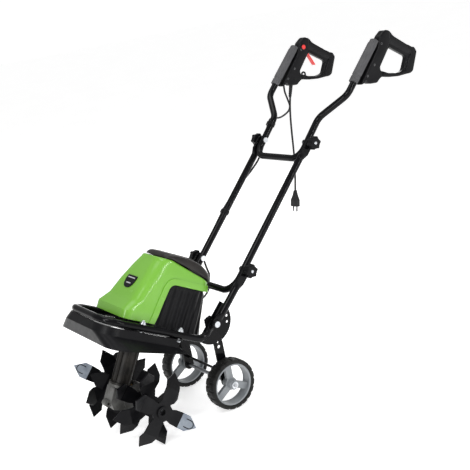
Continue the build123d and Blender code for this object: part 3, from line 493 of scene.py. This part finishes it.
# ---------------------------------------------------------------- hood
# v, then half width, front u, rear u and corner radius at that level
HOOD_WALL = ((15, 96, -131, 158, 26), (40, 95.5, -131, 158, 26), (44, 95, -127, 158, 27),
             (71, 90, -105, 158, 30), (120, 85, -85, 158, 34), (170, 79, -62, 152, 42),
             (209, 71, -41, 149, 46))
HOOD_FOOT = 15.0                # v of the bottom edge
HOOD_EDGE_R = 8.0
HOOD_MIDDLE_U = 45.0
TOP_BREAK_U = -8.0              # the top is level in front of this u and slopes behind it
BORDER_RISE = 3.0
BORDER_WIDTH = 19.0
CUTTER_HALF = 130.0


def hood_top(u):
    """v of the hood's top edge."""
    return 208.5 if u < TOP_BREAK_U else 209 - (u - TOP_BREAK_U) * 39 / 158


def hood_shell(name, grow, thickness, material):
    """Lofted shell with a rounded edge round its sloping top, open at the bottom."""
    rows, crown, middle_u = 30, 7, HOOD_MIDDLE_U
    levels = {}

    def wall(v):
        key = round(v, 1)
        if key not in levels:
            half, front, rear, radius = along_table(HOOD_WALL, key)
            levels[key] = plan_ring(half + grow, front - grow, rear + grow, radius + grow)
        return levels[key]

    count = len(wall(HOOD_FOOT))
    tops = []
    for index in range(count):
        v = 200.0
        for _ in range(6):
            v = hood_top(wall(v)[index][1]) + grow - HOOD_EDGE_R
        tops.append(v)
    verts = []
    for row in range(rows + 1):
        for index in range(count):
            v = HOOD_FOOT + (tops[index] - HOOD_FOOT) * row / rows
            verts.append(deck_point(*wall(v)[index], v))
    for row in range(1, crown + 1):
        turn = radians(90 * row / crown)
        for index in range(count):
            x, u = wall(tops[index])[index]
            inward = HOOD_EDGE_R * (1 - cos(turn)) / math.hypot(x, u - middle_u)
            verts.append(deck_point(x * (1 - inward), u + (middle_u - u) * inward,
                                    tops[index] + HOOD_EDGE_R * sin(turn)))
    edge = verts[-count:]
    centre = deck_point(0, middle_u, hood_top(middle_u) + grow)
    for row in range(1, 4):
        verts += [centre + (point - centre) * (1 - row * 0.22) for point in edge]
    total = rows + crown + 4
    faces = rings_to_faces(total, count)
    faces.append(tuple(range((total - 1) * count, total * count)))
    shell = link_mesh(name, verts, faces, material, "chassis", 50)
    add_wall(shell, thickness)
    return shell


def boolean_with(piece, outline, operation):
    """Cut the piece by a prism right across the machine with a (u, v) outline."""
    cutter = cutter_prism(outline)
    cut = piece.modifiers.new("cut", "BOOLEAN")
    cut.operation = operation
    cut.solver = "EXACT"
    cut.object = cutter
    apply_modifiers(piece)
    bpy.data.objects.remove(cutter)
    finish_mesh(piece, 30)


def make_hood(materials):
    """Shell cut away over the motor housing, with a raised border round the opening."""
    hood = hood_shell("hood_shell", 0, 0.003, materials["hood_green"])
    boolean_with(hood, arch_outline(0), "DIFFERENCE")
    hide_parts("hood")
    border = hood_shell("hood_border", BORDER_RISE, 0.0045, materials["hood_green"])
    boolean_with(border, arch_outline(BORDER_WIDTH), "INTERSECT")
    boolean_with(border, arch_outline(0.3), "DIFFERENCE")
    add_bevel(border, 0.0012, 2, 45)


def arch_outline(grow):
    """Edge of the opening over the motor housing, as (u, v), moved outward by grow."""
    lean = radians(14)
    side = grow / cos(lean)
    top = 139.5 + grow
    radius = 24 + grow
    foot_v = 15
    foot_u = -26 - side
    bend_v = top - radius * (1 - sin(lean))
    bend_u = foot_u + (bend_v - foot_v) * math.tan(lean)
    centre_u = bend_u + radius * cos(lean)
    points = [(foot_u - foot_v * math.tan(lean), 0)]
    for step in range(11):
        turn = pi - lean - (pi / 2 - lean) * step / 10
        points.append((centre_u + radius * cos(turn), top - radius + radius * sin(turn)))
    points += [(190, top), (190, 0)]
    return points


def cutter_prism(outline):
    """Solid prism across the whole machine, for a boolean cut."""
    verts = [deck_point(x, u, v) for x in (-CUTTER_HALF, CUTTER_HALF) for u, v in outline]
    mesh = bpy.data.meshes.new("cutter")
    mesh.from_pydata([tuple(v) for v in verts], [], capped_faces(2, len(outline)))
    tidy = bmesh.new()
    tidy.from_mesh(mesh)
    bmesh.ops.recalc_face_normals(tidy, faces=tidy.faces)
    tidy.to_mesh(mesh)
    tidy.free()
    return link_object("cutter", mesh)


def apply_modifiers(piece):
    """Bake the piece's modifiers into its mesh."""
    bpy.context.view_layer.update()
    graph = bpy.context.evaluated_depsgraph_get()
    mesh = bpy.data.meshes.new_from_object(piece.evaluated_get(graph))
    piece.modifiers.clear()
    piece.data = mesh


# ---------------------------------------------------------------- vent cap
CAP_PLAN = (74.0, -29.0, 163.0, 38.0)     # half width, front u, rear u, corner radius
CAP_MIDDLE_U = 60.0
CAP_INSET = 20.0                # how far the dome draws in between its foot and its top
CAP_TOP = ((-29, 221), (-18, 226), (20, 227.5), (55, 226), (85, 222), (108, 216), (140, 201),
           (163, 180))


def make_cap(materials):
    """Low dome over the hood's slope, with seven ribs across its rear half."""
    rows, crown = 12, 5
    half, front, rear, radius = CAP_PLAN
    verts = []
    count = len(plan_ring(half, front, rear, radius))
    for row in range(rows + 1):
        turn = radians(90 * row / rows)
        inset = CAP_INSET * (1 - cos(turn))
        ring = plan_ring(half - inset, front + inset * 0.6, rear - inset, radius)
        for x, u in ring:
            low = hood_top(u) + 0.6 if u < 150 else 170.5 - (u - 150) * 0.25
            high = along_table(CAP_TOP, u)[0]
            verts.append(deck_point(x, u, low + (high - low) * (0.12 + 0.88 * sin(turn))))
    top_ring = plan_ring(half - CAP_INSET, front + 0.6 * CAP_INSET, rear - CAP_INSET, radius)
    for row in range(1, crown + 1):
        shrink = 1 - row * 0.16
        for x, u in top_ring:
            x, u = x * shrink, CAP_MIDDLE_U + (u - CAP_MIDDLE_U) * shrink
            verts.append(deck_point(x, u, along_table(CAP_TOP, u)[0]))
    total = rows + 1 + crown
    faces = rings_to_faces(total, count)
    faces.append(tuple(range((total - 1) * count, total * count)))
    cap = link_mesh("vent_cap_dome", verts, faces, materials["cap_brown"], "chassis", 45)
    add_wall(cap, 0.0025)
    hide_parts("vent_cap")
    for row in range(7):
        u = 66 + row * 11.5
        width = 46 - row * 2.2
        high = along_table(CAP_TOP, u)[0]
        path = [deck_point(-width + step * width / 6, u, high + 0.6) for step in range(13)]
        verts, faces = tube_mesh(path, 0.0021, 10)
        rib = link_mesh(f"vent_rib_{row + 1}", verts, faces, materials["cap_brown"],
                        "chassis")


# ---------------------------------------------------------------- motor housing
# v, then half width, front u, rear u and corner radius at that level
HOUSING_LEVELS = ((-12, 91.5, -75, 172, 55), (0, 91, -74, 170.4, 55), (130, 82.6, -64, 153, 50),
                  (150, 76, -58, 146, 47))
FLUTE_PITCH = 25.0
FLUTE_DEPTH = 4.0


def make_housing(materials):
    """Fluted casing: soft vertical channels pressed in between flat ribs."""
    rows = 24
    foot, head = HOUSING_LEVELS[0][0], HOUSING_LEVELS[-1][0]
    verts = []
    for row in range(rows + 1):
        v = foot + (head - foot) * row / rows
        half, front, rear, radius = along_table(HOUSING_LEVELS, v)
        ring = plan_ring(half, front, rear, radius, corner=26, straight=44)
        run = 0.0
        fade = min(1.0, max(0.0, (v + 4) / 14)) * min(1.0, max(0.0, (146 - v) / 12))
        count = len(ring)
        for index, (x, u) in enumerate(ring):
            before, after = ring[index - 1], ring[(index + 1) % count]
            run += math.dist(before, (x, u)) if index else 0
            tangent = Vector((after[0] - before[0], after[1] - before[1])).normalized()
            outward = Vector((tangent.y, -tangent.x))
            if outward.dot(Vector((x, u - 48))) < 0:
                outward = -outward
            wave = 0.5 - 0.5 * cos(2 * pi * run / FLUTE_PITCH)
            depth = FLUTE_DEPTH * wave ** 0.8 * fade
            verts.append(deck_point(x - outward.x * depth, u - outward.y * depth, v))
    faces = rings_to_faces(rows + 1, count)
    housing = link_mesh("motor_casing", verts, faces, materials["black_plastic"], "chassis", 50)
    add_wall(housing, 0.0025)
    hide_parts("motor_housing")


# ---------------------------------------------------------------- badge
SLOPE_FOOT = (-105.0, 71.0)     # (u, v) where the hood's front slope starts
SLOPE_HEAD = (-50.0, 208.0)
BADGE_V = 118.0
SLOPE = math.atan2(SLOPE_HEAD[1] - SLOPE_FOOT[1], SLOPE_HEAD[0] - SLOPE_FOOT[0])
BADGE_UP = (DECK_U * cos(SLOPE) + DECK_V * sin(SLOPE)).normalized()
BADGE_OUT = (DECK_V * cos(SLOPE) - DECK_U * sin(SLOPE)).normalized()


def badge_point(p, q, lift):
    """Metres from the badge's own p (along X) and q (up the slope)."""
    centre = deck_point(2, SLOPE_FOOT[0] + (BADGE_V - SLOPE_FOOT[1]) / math.tan(SLOPE), BADGE_V)
    return centre + Vector((p, 0, 0)) / 1000 + BADGE_UP * q / 1000 + BADGE_OUT * lift / 1000


def make_badge(materials):
    """Plain dark shield with two bare pale bars in place of any wording."""
    outline = ((-27, 19), (27, 19), (28, 2), (24, -11), (15, -20), (0, -23), (-15, -20),
               (-24, -11), (-28, 2))
    shield = prism("badge_shield", outline, badge_point, "chassis", materials["black_plastic"],
                   0.0007, 0.2, 2.2)
    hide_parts("badge_plate")
    for index, (middle, half) in enumerate(((11, 20), (-7, 12))):
        bar = prism(f"badge_bar_{index + 1}",
                    ((-half, middle - 1.6), (half, middle - 1.6), (half, middle + 1.6),
                     (-half, middle + 1.6)), badge_point, "chassis",
                    materials["label_white"], 0.0002, 2.1, 2.6)


# ---------------------------------------------------------------- grips
def slab(name, outline, holes, middle_x, half, edge, material, body):
    """Flat moulding with rounded edges; outlines are (y behind the axle, z) in millimetres."""
    curve = bpy.data.curves.new(name, "CURVE")
    curve.dimensions = "2D"
    curve.fill_mode = "BOTH"
    curve.extrude = (half - edge) / 1000
    curve.bevel_depth = edge / 1000
    curve.bevel_resolution = 3
    curve.offset = -edge / 1000
    for ring in (outline, *holes):
        spline = curve.splines.new("POLY")
        spline.points.add(len(ring) - 1)
        for point, (y, z) in zip(spline.points, ring):
            point.co = (y / 1000, z / 1000, 0, 1)
        spline.use_cyclic_u = True
    flat = link_object(name, curve)
    bpy.context.view_layer.update()
    graph = bpy.context.evaluated_depsgraph_get()
    mesh = bpy.data.meshes.new_from_object(flat.evaluated_get(graph))
    bpy.data.objects.remove(flat)
    verts = [Vector((middle_x / 1000 + v.co.z, AXLE_Y / 1000 + v.co.x, v.co.y))
             for v in mesh.vertices]
    return link_mesh(name, verts, [tuple(f.vertices) for f in mesh.polygons], material, body, 50)


def rounded(outline, reach, steps=5):
    """Closed outline with each corner rounded by a short quadratic curve."""
    points = []
    count = len(outline)
    for index in range(count):
        before, here, after = (Vector(outline[(index + k) % count]) for k in (-1, 0, 1))
        one = here + (before - here).normalized() * min(reach, (before - here).length * 0.45)
        two = here + (after - here).normalized() * min(reach, (after - here).length * 0.45)
        for step in range(steps + 1):
            t = step / steps
            points.append(tuple(one * (1 - t) ** 2 + here * 2 * t * (1 - t) + two * t * t))
    return points


GRIP_OUTLINE = ((640, 868), (735, 966), (748, 998), (776, 1015.4), (800, 1008), (813, 989),
                (887, 939), (897, 937), (906, 920), (878, 862), (866, 857), (812, 858),
                (770, 864), (741, 872), (719, 866), (668, 876), (652, 865))
GRIP_HOLE = ((788, 958), (860, 913), (838, 872), (812, 869), (770, 877), (737, 892),
             (735, 901))
TUBE_RUN = ((622, 877.4), (738, 987.8))


def make_grip(name, side, materials):
    """D-shaped grip: web, body, clamp shell along the tube, textured bar and rear loop."""
    middle = side * GRIP_X
    black = materials["black_plastic"]
    web = slab(f"grip_web_{name}", rounded(GRIP_OUTLINE, 9), (rounded(GRIP_HOLE, 9),), middle,
               10, 4, black, "upper_handle")
    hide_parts(f"grip_{name}")
    body_outline = ((640, 868), (735, 966), (748, 998), (776, 1015.4), (798, 1008), (790, 972),
                    (768, 945), (733, 905), (735, 889), (737, 873), (722, 866), (712, 858),
                    (676, 862), (668, 877), (652, 866))
    body = slab(f"grip_body_{name}", rounded(body_outline, 8), (), middle, 14.5, 5, black,
                "upper_handle")
    loop_outline = ((868, 951), (887, 939), (897, 937), (906, 920), (878, 862), (866, 857),
                    (852, 857), (844, 870), (868, 911), (880, 921), (862, 935))
    loop = slab(f"grip_loop_{name}", rounded(loop_outline, 5), (), middle, 14, 4, black,
                "upper_handle")
    floor_outline = ((741, 872), (770, 864), (812, 858), (866, 857), (870, 868), (838, 871.5),
                     (812, 869), (770, 877), (742, 890))
    bottom = slab(f"grip_floor_{name}", rounded(floor_outline, 4), (), middle, 12, 4, black,
                  "upper_handle")
    bar_path = [ground_point(middle, y, z) for y, z in ((772, 986), (790, 981), (830, 957),
                                                       (868, 932), (880, 924))]
    bar = grip_bar(f"grip_bar_{name}", spline_points(bar_path, 6), materials)
    shell = clamp_shell(f"grip_shell_{name}", middle, materials)
    for index in range(3):
        ridge_line = [ground_point(middle + step * 6, 880 + index * 7, 876 + index * 15)
                      + Vector((0, 0.0052, -0.0030)) for step in (-1, 0, 1)]
        verts, faces = tube_mesh(ridge_line, 0.0016, 8)
        ridge = link_mesh(f"grip_ridge_{name}_{index + 1}", verts, faces, black, "upper_handle")
    for index, (y, z) in enumerate(((673, 888), (709, 916), (752, 975))):
        for face in (-1, 1):
            screw = disc(f"grip_screw_{name}_{index + 1}_{'in' if face < 0 else 'out'}",
                         ground_point(middle + face * 14.2, y, z), Vector((face, 0, 0)),
                         ((-1, 3.6), (0.4, 3.6), (0.6, 3.0), (0.2, 2.2), (-0.4, 0.6)),
                         materials["motor_steel"], "upper_handle", 20)


def grip_bar(name, path, materials):
    """Oval bar with finely ringed rubber."""
    verts, sides = [], 28
    total = len(path)
    for index, point in enumerate(path):
        ahead = (path[min(index + 1, total - 1)] - path[max(index - 1, 0)]).normalized()
        up = X_AXIS.cross(ahead).normalized()
        swell = 1 - 0.10 * abs(2 * index / (total - 1) - 1) ** 2 + 0.02 * (index % 2)
        for side in range(sides):
            turn = 2 * pi * side / sides
            verts.append(point + X_AXIS * cos(turn) * 0.0146 * swell
                         + up * sin(turn) * 0.0163 * swell)
    return link_mesh(name, verts, capped_faces(total, sides), materials["grip_rubber"],
                     "upper_handle", 60)


def clamp_shell(name, middle, materials):
    """Half-round shell that clamps the front of the body to the tube, with a stepped end."""
    foot, head = (ground_point(middle, *p) for p in TUBE_RUN)
    ahead = (head - foot).normalized()
    outward = X_AXIS.cross(ahead).normalized()
    if outward.y > 0:
        outward = -outward
    end = (head - foot).length
    rings = ((0, 0.0138, 0.0136), (0.0015, 0.0150, 0.0150), (0.020, 0.0152, 0.0152),
             (0.021, 0.0142, 0.0142), (0.026, 0.0142, 0.0142), (0.027, 0.0154, 0.0154),
             (end - 0.016, 0.0154, 0.0154), (end - 0.015, 0.0144, 0.0140),
             (end - 0.002, 0.0142, 0.0136), (end, 0.0130, 0.0120))
    verts, sides = [], 26
    for along, wide, tall in rings:
        for side in range(sides):
            turn = 2 * pi * side / sides
            square = (abs(cos(turn)) ** 3 + abs(sin(turn)) ** 3) ** (-1 / 3)
            lift = sin(turn) * tall * square
            verts.append(foot + ahead * along + X_AXIS * cos(turn) * wide * square
                         + outward * max(lift, -0.004))
    return link_mesh(name, verts, capped_faces(len(rings), sides), materials["shell_grey"],
                     "upper_handle", 32)


def make_grips(materials):
    """Both grips, and on the switch grip the lock button's collar and the cord hook."""
    for name, side in SIDES:
        make_grip(name, side, materials)
    inner = -GRIP_X + 14
    collar = disc("button_collar", ground_point(inner, 764, 982), X_AXIS,
                  ((-2, 11), (1.4, 11), (2.2, 10), (2.2, 8.4), (0, 8.2)),
                  materials["black_plastic"], "upper_handle")
    ring_path = [ground_point(-GRIP_X + 12, 746 + 8 * cos(a * pi / 8), 888 + 8 * sin(a * pi / 8))
                 for a in range(17)]
    verts, faces = tube_mesh(ring_path, 0.0032, 10)
    hook = link_mesh("cord_hook", verts, faces, materials["black_plastic"], "upper_handle")


# ---------------------------------------------------------------- hardware details
def make_hardware(materials):
    """Bright knob centres, pivot domes and the stepped bolt ends that stand on the frame."""
    zinc = materials["zinc"]
    for name, side in SIDES:
        for level, (y, z) in (("low", FOLD_LOW), ("high", FOLD_HIGH)):
            low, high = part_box(f"fold_knob_{level}_{name}")
            face = max(abs(low[0]), abs(high[0])) * 1000
            nut = disc(f"knob_cap_{level}_{name}", ground_point(side * face, y, z),
                       Vector((side, 0, 0)), ((-3, 4.6), (0.1, 4.6), (0.4, 3.8), (0.5, 1.2)),
                       zinc, f"{level}_knob_{name}", 24)
        _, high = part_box("pivot_bolts")
        dome_x = side * high[0]
        dome = disc(f"pivot_dome_{name}", Vector((dome_x, 0, 0)) + ground_point(0, *PIVOT)
                    - Vector((side * 0.008, 0, 0)), Vector((side, 0, 0)),
                    ((0, 9.4), (4.6, 9.2), (6.6, 7.6), (7.6, 5.0), (7.9, 2.0)), zinc, "chassis")
        for index, u in enumerate((-78, 54)):
            cone = disc(f"frame_cone_{name}_{index + 1}", deck_point(side * 120, u, 13),
                        DECK_V, ((0, 9.4), (0.8, 9.4), (1.0, 7.4), (5.2, 7.2), (7.2, 4.2),
                                 (8.0, 4.0), (9.6, 3.6), (10.0, 2.2)), zinc, "chassis", 24)


def leg_point(x, start, slope, along, drop=0.0):
    """A point along a handle leg, dropped square to it; slope in radians."""
    return ground_point(x, start[0] + along * cos(slope) + drop * sin(slope),
                        start[1] + along * sin(slope) - drop * cos(slope))


MIDDLE_LEG_X = 120.0
UPPER_LEG_X = 114.0
FLEX_R = 0.0033
FLEX_OFFSET = 16.3              # from a leg's axis out to the flex on it, in millimetres
MIDDLE_SLOPE = math.atan2(FOLD_HIGH[1] - FOLD_LOW[1], FOLD_HIGH[0] - FOLD_LOW[0])
UPPER_SLOPE = math.atan2(786 - 679.5, 531 - 426)


def make_clips(materials):
    """Plastic bands that hold the cable to the handle's right-hand leg."""
    for name, leg_x, start, slope, along, body in (
            ("upper", UPPER_LEG_X, FOLD_HIGH, UPPER_SLOPE, 62, "upper_handle"),
            ("middle", MIDDLE_LEG_X, FOLD_LOW, MIDDLE_SLOPE, 175, "middle_handle")):
        centre = leg_point(-leg_x, start, slope, along)
        ahead = Vector((0, cos(slope), sin(slope)))
        other = X_AXIS.cross(ahead).normalized()
        verts, sides = [], 32
        for place, radius in ((-0.007, 0.0125), (-0.006, 0.0135), (0.006, 0.0135),
                              (0.007, 0.0125)):
            for step in range(sides):
                turn = 2 * pi * step / sides
                bulge = 0.0085 * max(0.0, cos(turn - pi)) ** 4
                verts.append(centre + ahead * place
                             + (X_AXIS * cos(turn) + other * sin(turn))
                             * (radius + bulge))
        clip = link_mesh(f"cable_clip_{name}", verts, capped_faces(4, sides),
                         materials["black_plastic"], body)


def cable_piece(name, points, material, body):
    """A stretch of flex that lies along one body."""
    verts, faces = tube_mesh(spline_points(points, 8), FLEX_R, 12)
    piece = link_mesh(name, verts, faces, material, body, 60)
    return piece


def make_cables(materials):
    """The motor's flex, from the switch grip down the right-hand leg and into the housing."""
    flex = materials["cord_black"]
    middle_x = -(MIDDLE_LEG_X + FLEX_OFFSET)
    upper_x = -(UPPER_LEG_X + FLEX_OFFSET)
    at_upper_clip = leg_point(upper_x, FOLD_HIGH, UPPER_SLOPE, 62)
    before_fold = leg_point(upper_x, FOLD_HIGH, UPPER_SLOPE, 34, 4)
    upper = cable_piece("flex_upper", [ground_point(-196, 655, 868), ground_point(-196, 655, 845),
                                       ground_point(-194, 660, 818), ground_point(-188, 660, 793),
                                       ground_point(-174, 636, 778), ground_point(-150, 580, 772),
                                       leg_point(upper_x, FOLD_HIGH, UPPER_SLOPE, 84),
                                       at_upper_clip, before_fold], flex, "upper_handle")
    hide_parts("cable_upper")
    slack = [before_fold, ground_point(-126, 464, 690), ground_point(-127, 436, 656),
             ground_point(-129, 400, 628)]
    crossing_high = cable_loop("flex_high_fold", slack, flex)
    middle = cable_piece("flex_middle", [ground_point(-129, 400, 628), ground_point(-133, 358, 600),
                                         ground_point(-136, 318, 568),
                                         leg_point(middle_x, FOLD_LOW, MIDDLE_SLOPE, 200),
                                         leg_point(middle_x, FOLD_LOW, MIDDLE_SLOPE, 150),
                                         leg_point(middle_x, FOLD_LOW, MIDDLE_SLOPE, 60, 4)],
                         flex, "middle_handle")
    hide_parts("cable_middle")
    low_start = leg_point(middle_x, FOLD_LOW, MIDDLE_SLOPE, 60, 4)
    low = cable_loop("flex_low_fold", [low_start, ground_point(-128, 152, 406),
                                       ground_point(-118, 146, 380), ground_point(-100, 142, 352)],
                     flex)
    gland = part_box("cable_gland")
    gland_mid = (Vector(gland[0]) + Vector(gland[1])) / 2
    tail = cable_loop("flex_housing", [ground_point(-100, 142, 352), ground_point(-62, 104, 316),
                                       gland_mid + DECK_U * 0.034 + Vector((-0.012, 0, 0)),
                                       gland_mid], flex)
    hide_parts("cable_lower")


def cable_loop(name, points, material):
    """A stretch of flex that bends across one joint."""
    verts, faces = tube_mesh(spline_points(points, 8), FLEX_R, 12)
    mesh = bpy.data.meshes.new(name)
    mesh.from_pydata([tuple(v) for v in verts], [], faces)
    piece = link_object(name, mesh)
    mesh.materials.append(material)
    finish_mesh(piece, 60)
    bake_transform(piece)
    return piece


LUGS = 20
LUG_DEPTH = 2.2
STEPS_PER_LUG = 12
GROOVE = (0.04, 0.30)           # part of each lug's pitch that the groove takes
TREAD_START = 73.0              # radius where the grooves begin
TREAD_FADE = 3.0
TYRE_PROFILE = ((-19, 65.5), (-22, 70), (-22, 74.5), (-20.5, 77.6), (-17.5, 79.2), (-10, 79.8),
                (-1.2, 80), (1.2, 80), (10, 79.8), (17.5, 79.2), (20.5, 77.6), (22, 74.5),
                (22, 70), (19, 65.5))


def make_tyres(materials):
    """Tyres with two staggered rows of low, broad lugs that run over the shoulders."""
    steps = STEPS_PER_LUG * LUGS
    for name, side in SIDES:
        centre = ground_point(side * WHEEL_X, 0, WHEEL_R)
        verts = []
        for step in range(steps):
            turn = 2 * pi * step / steps
            for x, radius in TYRE_PROFILE:
                phase = (step / STEPS_PER_LUG + (0.5 if x > 0 else 0)) % 1
                groove = 1.0 if GROOVE[0] < phase < GROOVE[1] else 0.0
                tread = min(1.0, max(0.0, (radius - TREAD_START) / TREAD_FADE))
                sunk = LUG_DEPTH * groove * tread
                verts.append(centre + Vector((x, (radius - sunk) * cos(turn),
                                              (radius - sunk) * sin(turn))) / 1000)
        rows = len(TYRE_PROFILE)
        faces = []
        for step in range(steps):
            after = (step + 1) % steps
            for row in range(rows):
                nearer = (row + 1) % rows
                faces.append((step * rows + row, step * rows + nearer,
                              after * rows + nearer, after * rows + row))
        tyre = link_mesh(f"tyre_tread_{name}", verts, faces, materials["tyre_black"],
                         f"{name}_wheel", 28)
        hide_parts(f"tyre_{name}")


EDGE_WIDTHS = (("tine_star", 0.0007), ("wheel_hub", 0.001), ("fold_knob", 0.0012),
               ("pivot_knob", 0.001), ("wheel_plate", 0.0006), ("gear_case", 0.0012),
               ("trigger", 0.001), ("plug", 0.0012), ("lock_button", 0.0008))


def soften_edges():
    """Small bevels on the carried-over nodes whose edges catch the light."""
    for start, width in EDGE_WIDTHS:
        for name, node in nodes.items():
            if name.startswith(start):
                add_bevel(node, width, 2, 38)


HIGHLIGHT_START = 76.0                # radius where the painted highlight on the tip begins, in millimetres
HIGHLIGHT_HALF = 26.0


def make_tine_tip_highlights(materials):
    """Painted highlight: a bright blue-grey patch on one blade of each outer star stands in for the
    reflection on that glossy tip, with its pressed U-shaped line.
    """
    centre = deck_point(0, *TINE_UV)
    # Only the blade that shows the reflection gets the painted highlight; the other blades stay
    # dark.
    for name, arm in (("left", -45), ("right", 135)):
        node = nodes[f"tine_star_3_{name}"]
        node.data.materials.append(materials["tine_tip_painted_highlight"])
        radial = Vector((0, cos(radians(arm)), sin(radians(arm))))
        across = Vector((0, -sin(radians(arm)), cos(radians(arm))))
        highlight_faces = []
        for face in node.data.polygons:
            middle = face.center - centre
            if middle.dot(radial) * 1000 > HIGHLIGHT_START and abs(middle.dot(across)) * 1000 < HIGHLIGHT_HALF:
                face.material_index = 1
                highlight_faces.append(face)
        broad = max((f for f in highlight_faces if f.normal.x > 0.3), key=lambda f: f.area)
        out = across.cross(broad.normal).normalized()
        if out.dot(radial) < 0:
            out = -out
        start = broad.center + broad.normal * 0.0003
        line = [start + out * p / 1000 + across * q / 1000
                for p, q in ((-17, 12), (-2, 12), (5, 9), (9, 0), (5, -9), (-2, -12), (-17, -12))]
        verts, faces = tube_mesh(spline_points(line, 5), 0.0013, 8)
        ridge = link_mesh(f"tip_line_{name}", verts, faces, materials["tine_paint"], "tine_rotor")


# ---------------------------------------------------------------- paint the carried-over nodes
def paint_nodes(materials):
    """Give every CAD node its slot's material and smooth shading up to its creases."""
    slots = {row["node"]: row["material_slot"] for row in frame["record"]["subparts"]}
    for name, node in nodes.items():
        node.data.materials.clear()
        node.data.materials.append(materials[slots[name]])
        finish_mesh(node, 32)


materials = make_materials()
make_camera()
make_mains_cord(materials)
make_studio()
paint_nodes(materials)
make_hood(materials)
make_cap(materials)
make_housing(materials)
make_badge(materials)
make_grips(materials)
make_hardware(materials)
make_clips(materials)
make_cables(materials)
make_tine_tip_highlights(materials)
make_tyres(materials)
soften_edges()
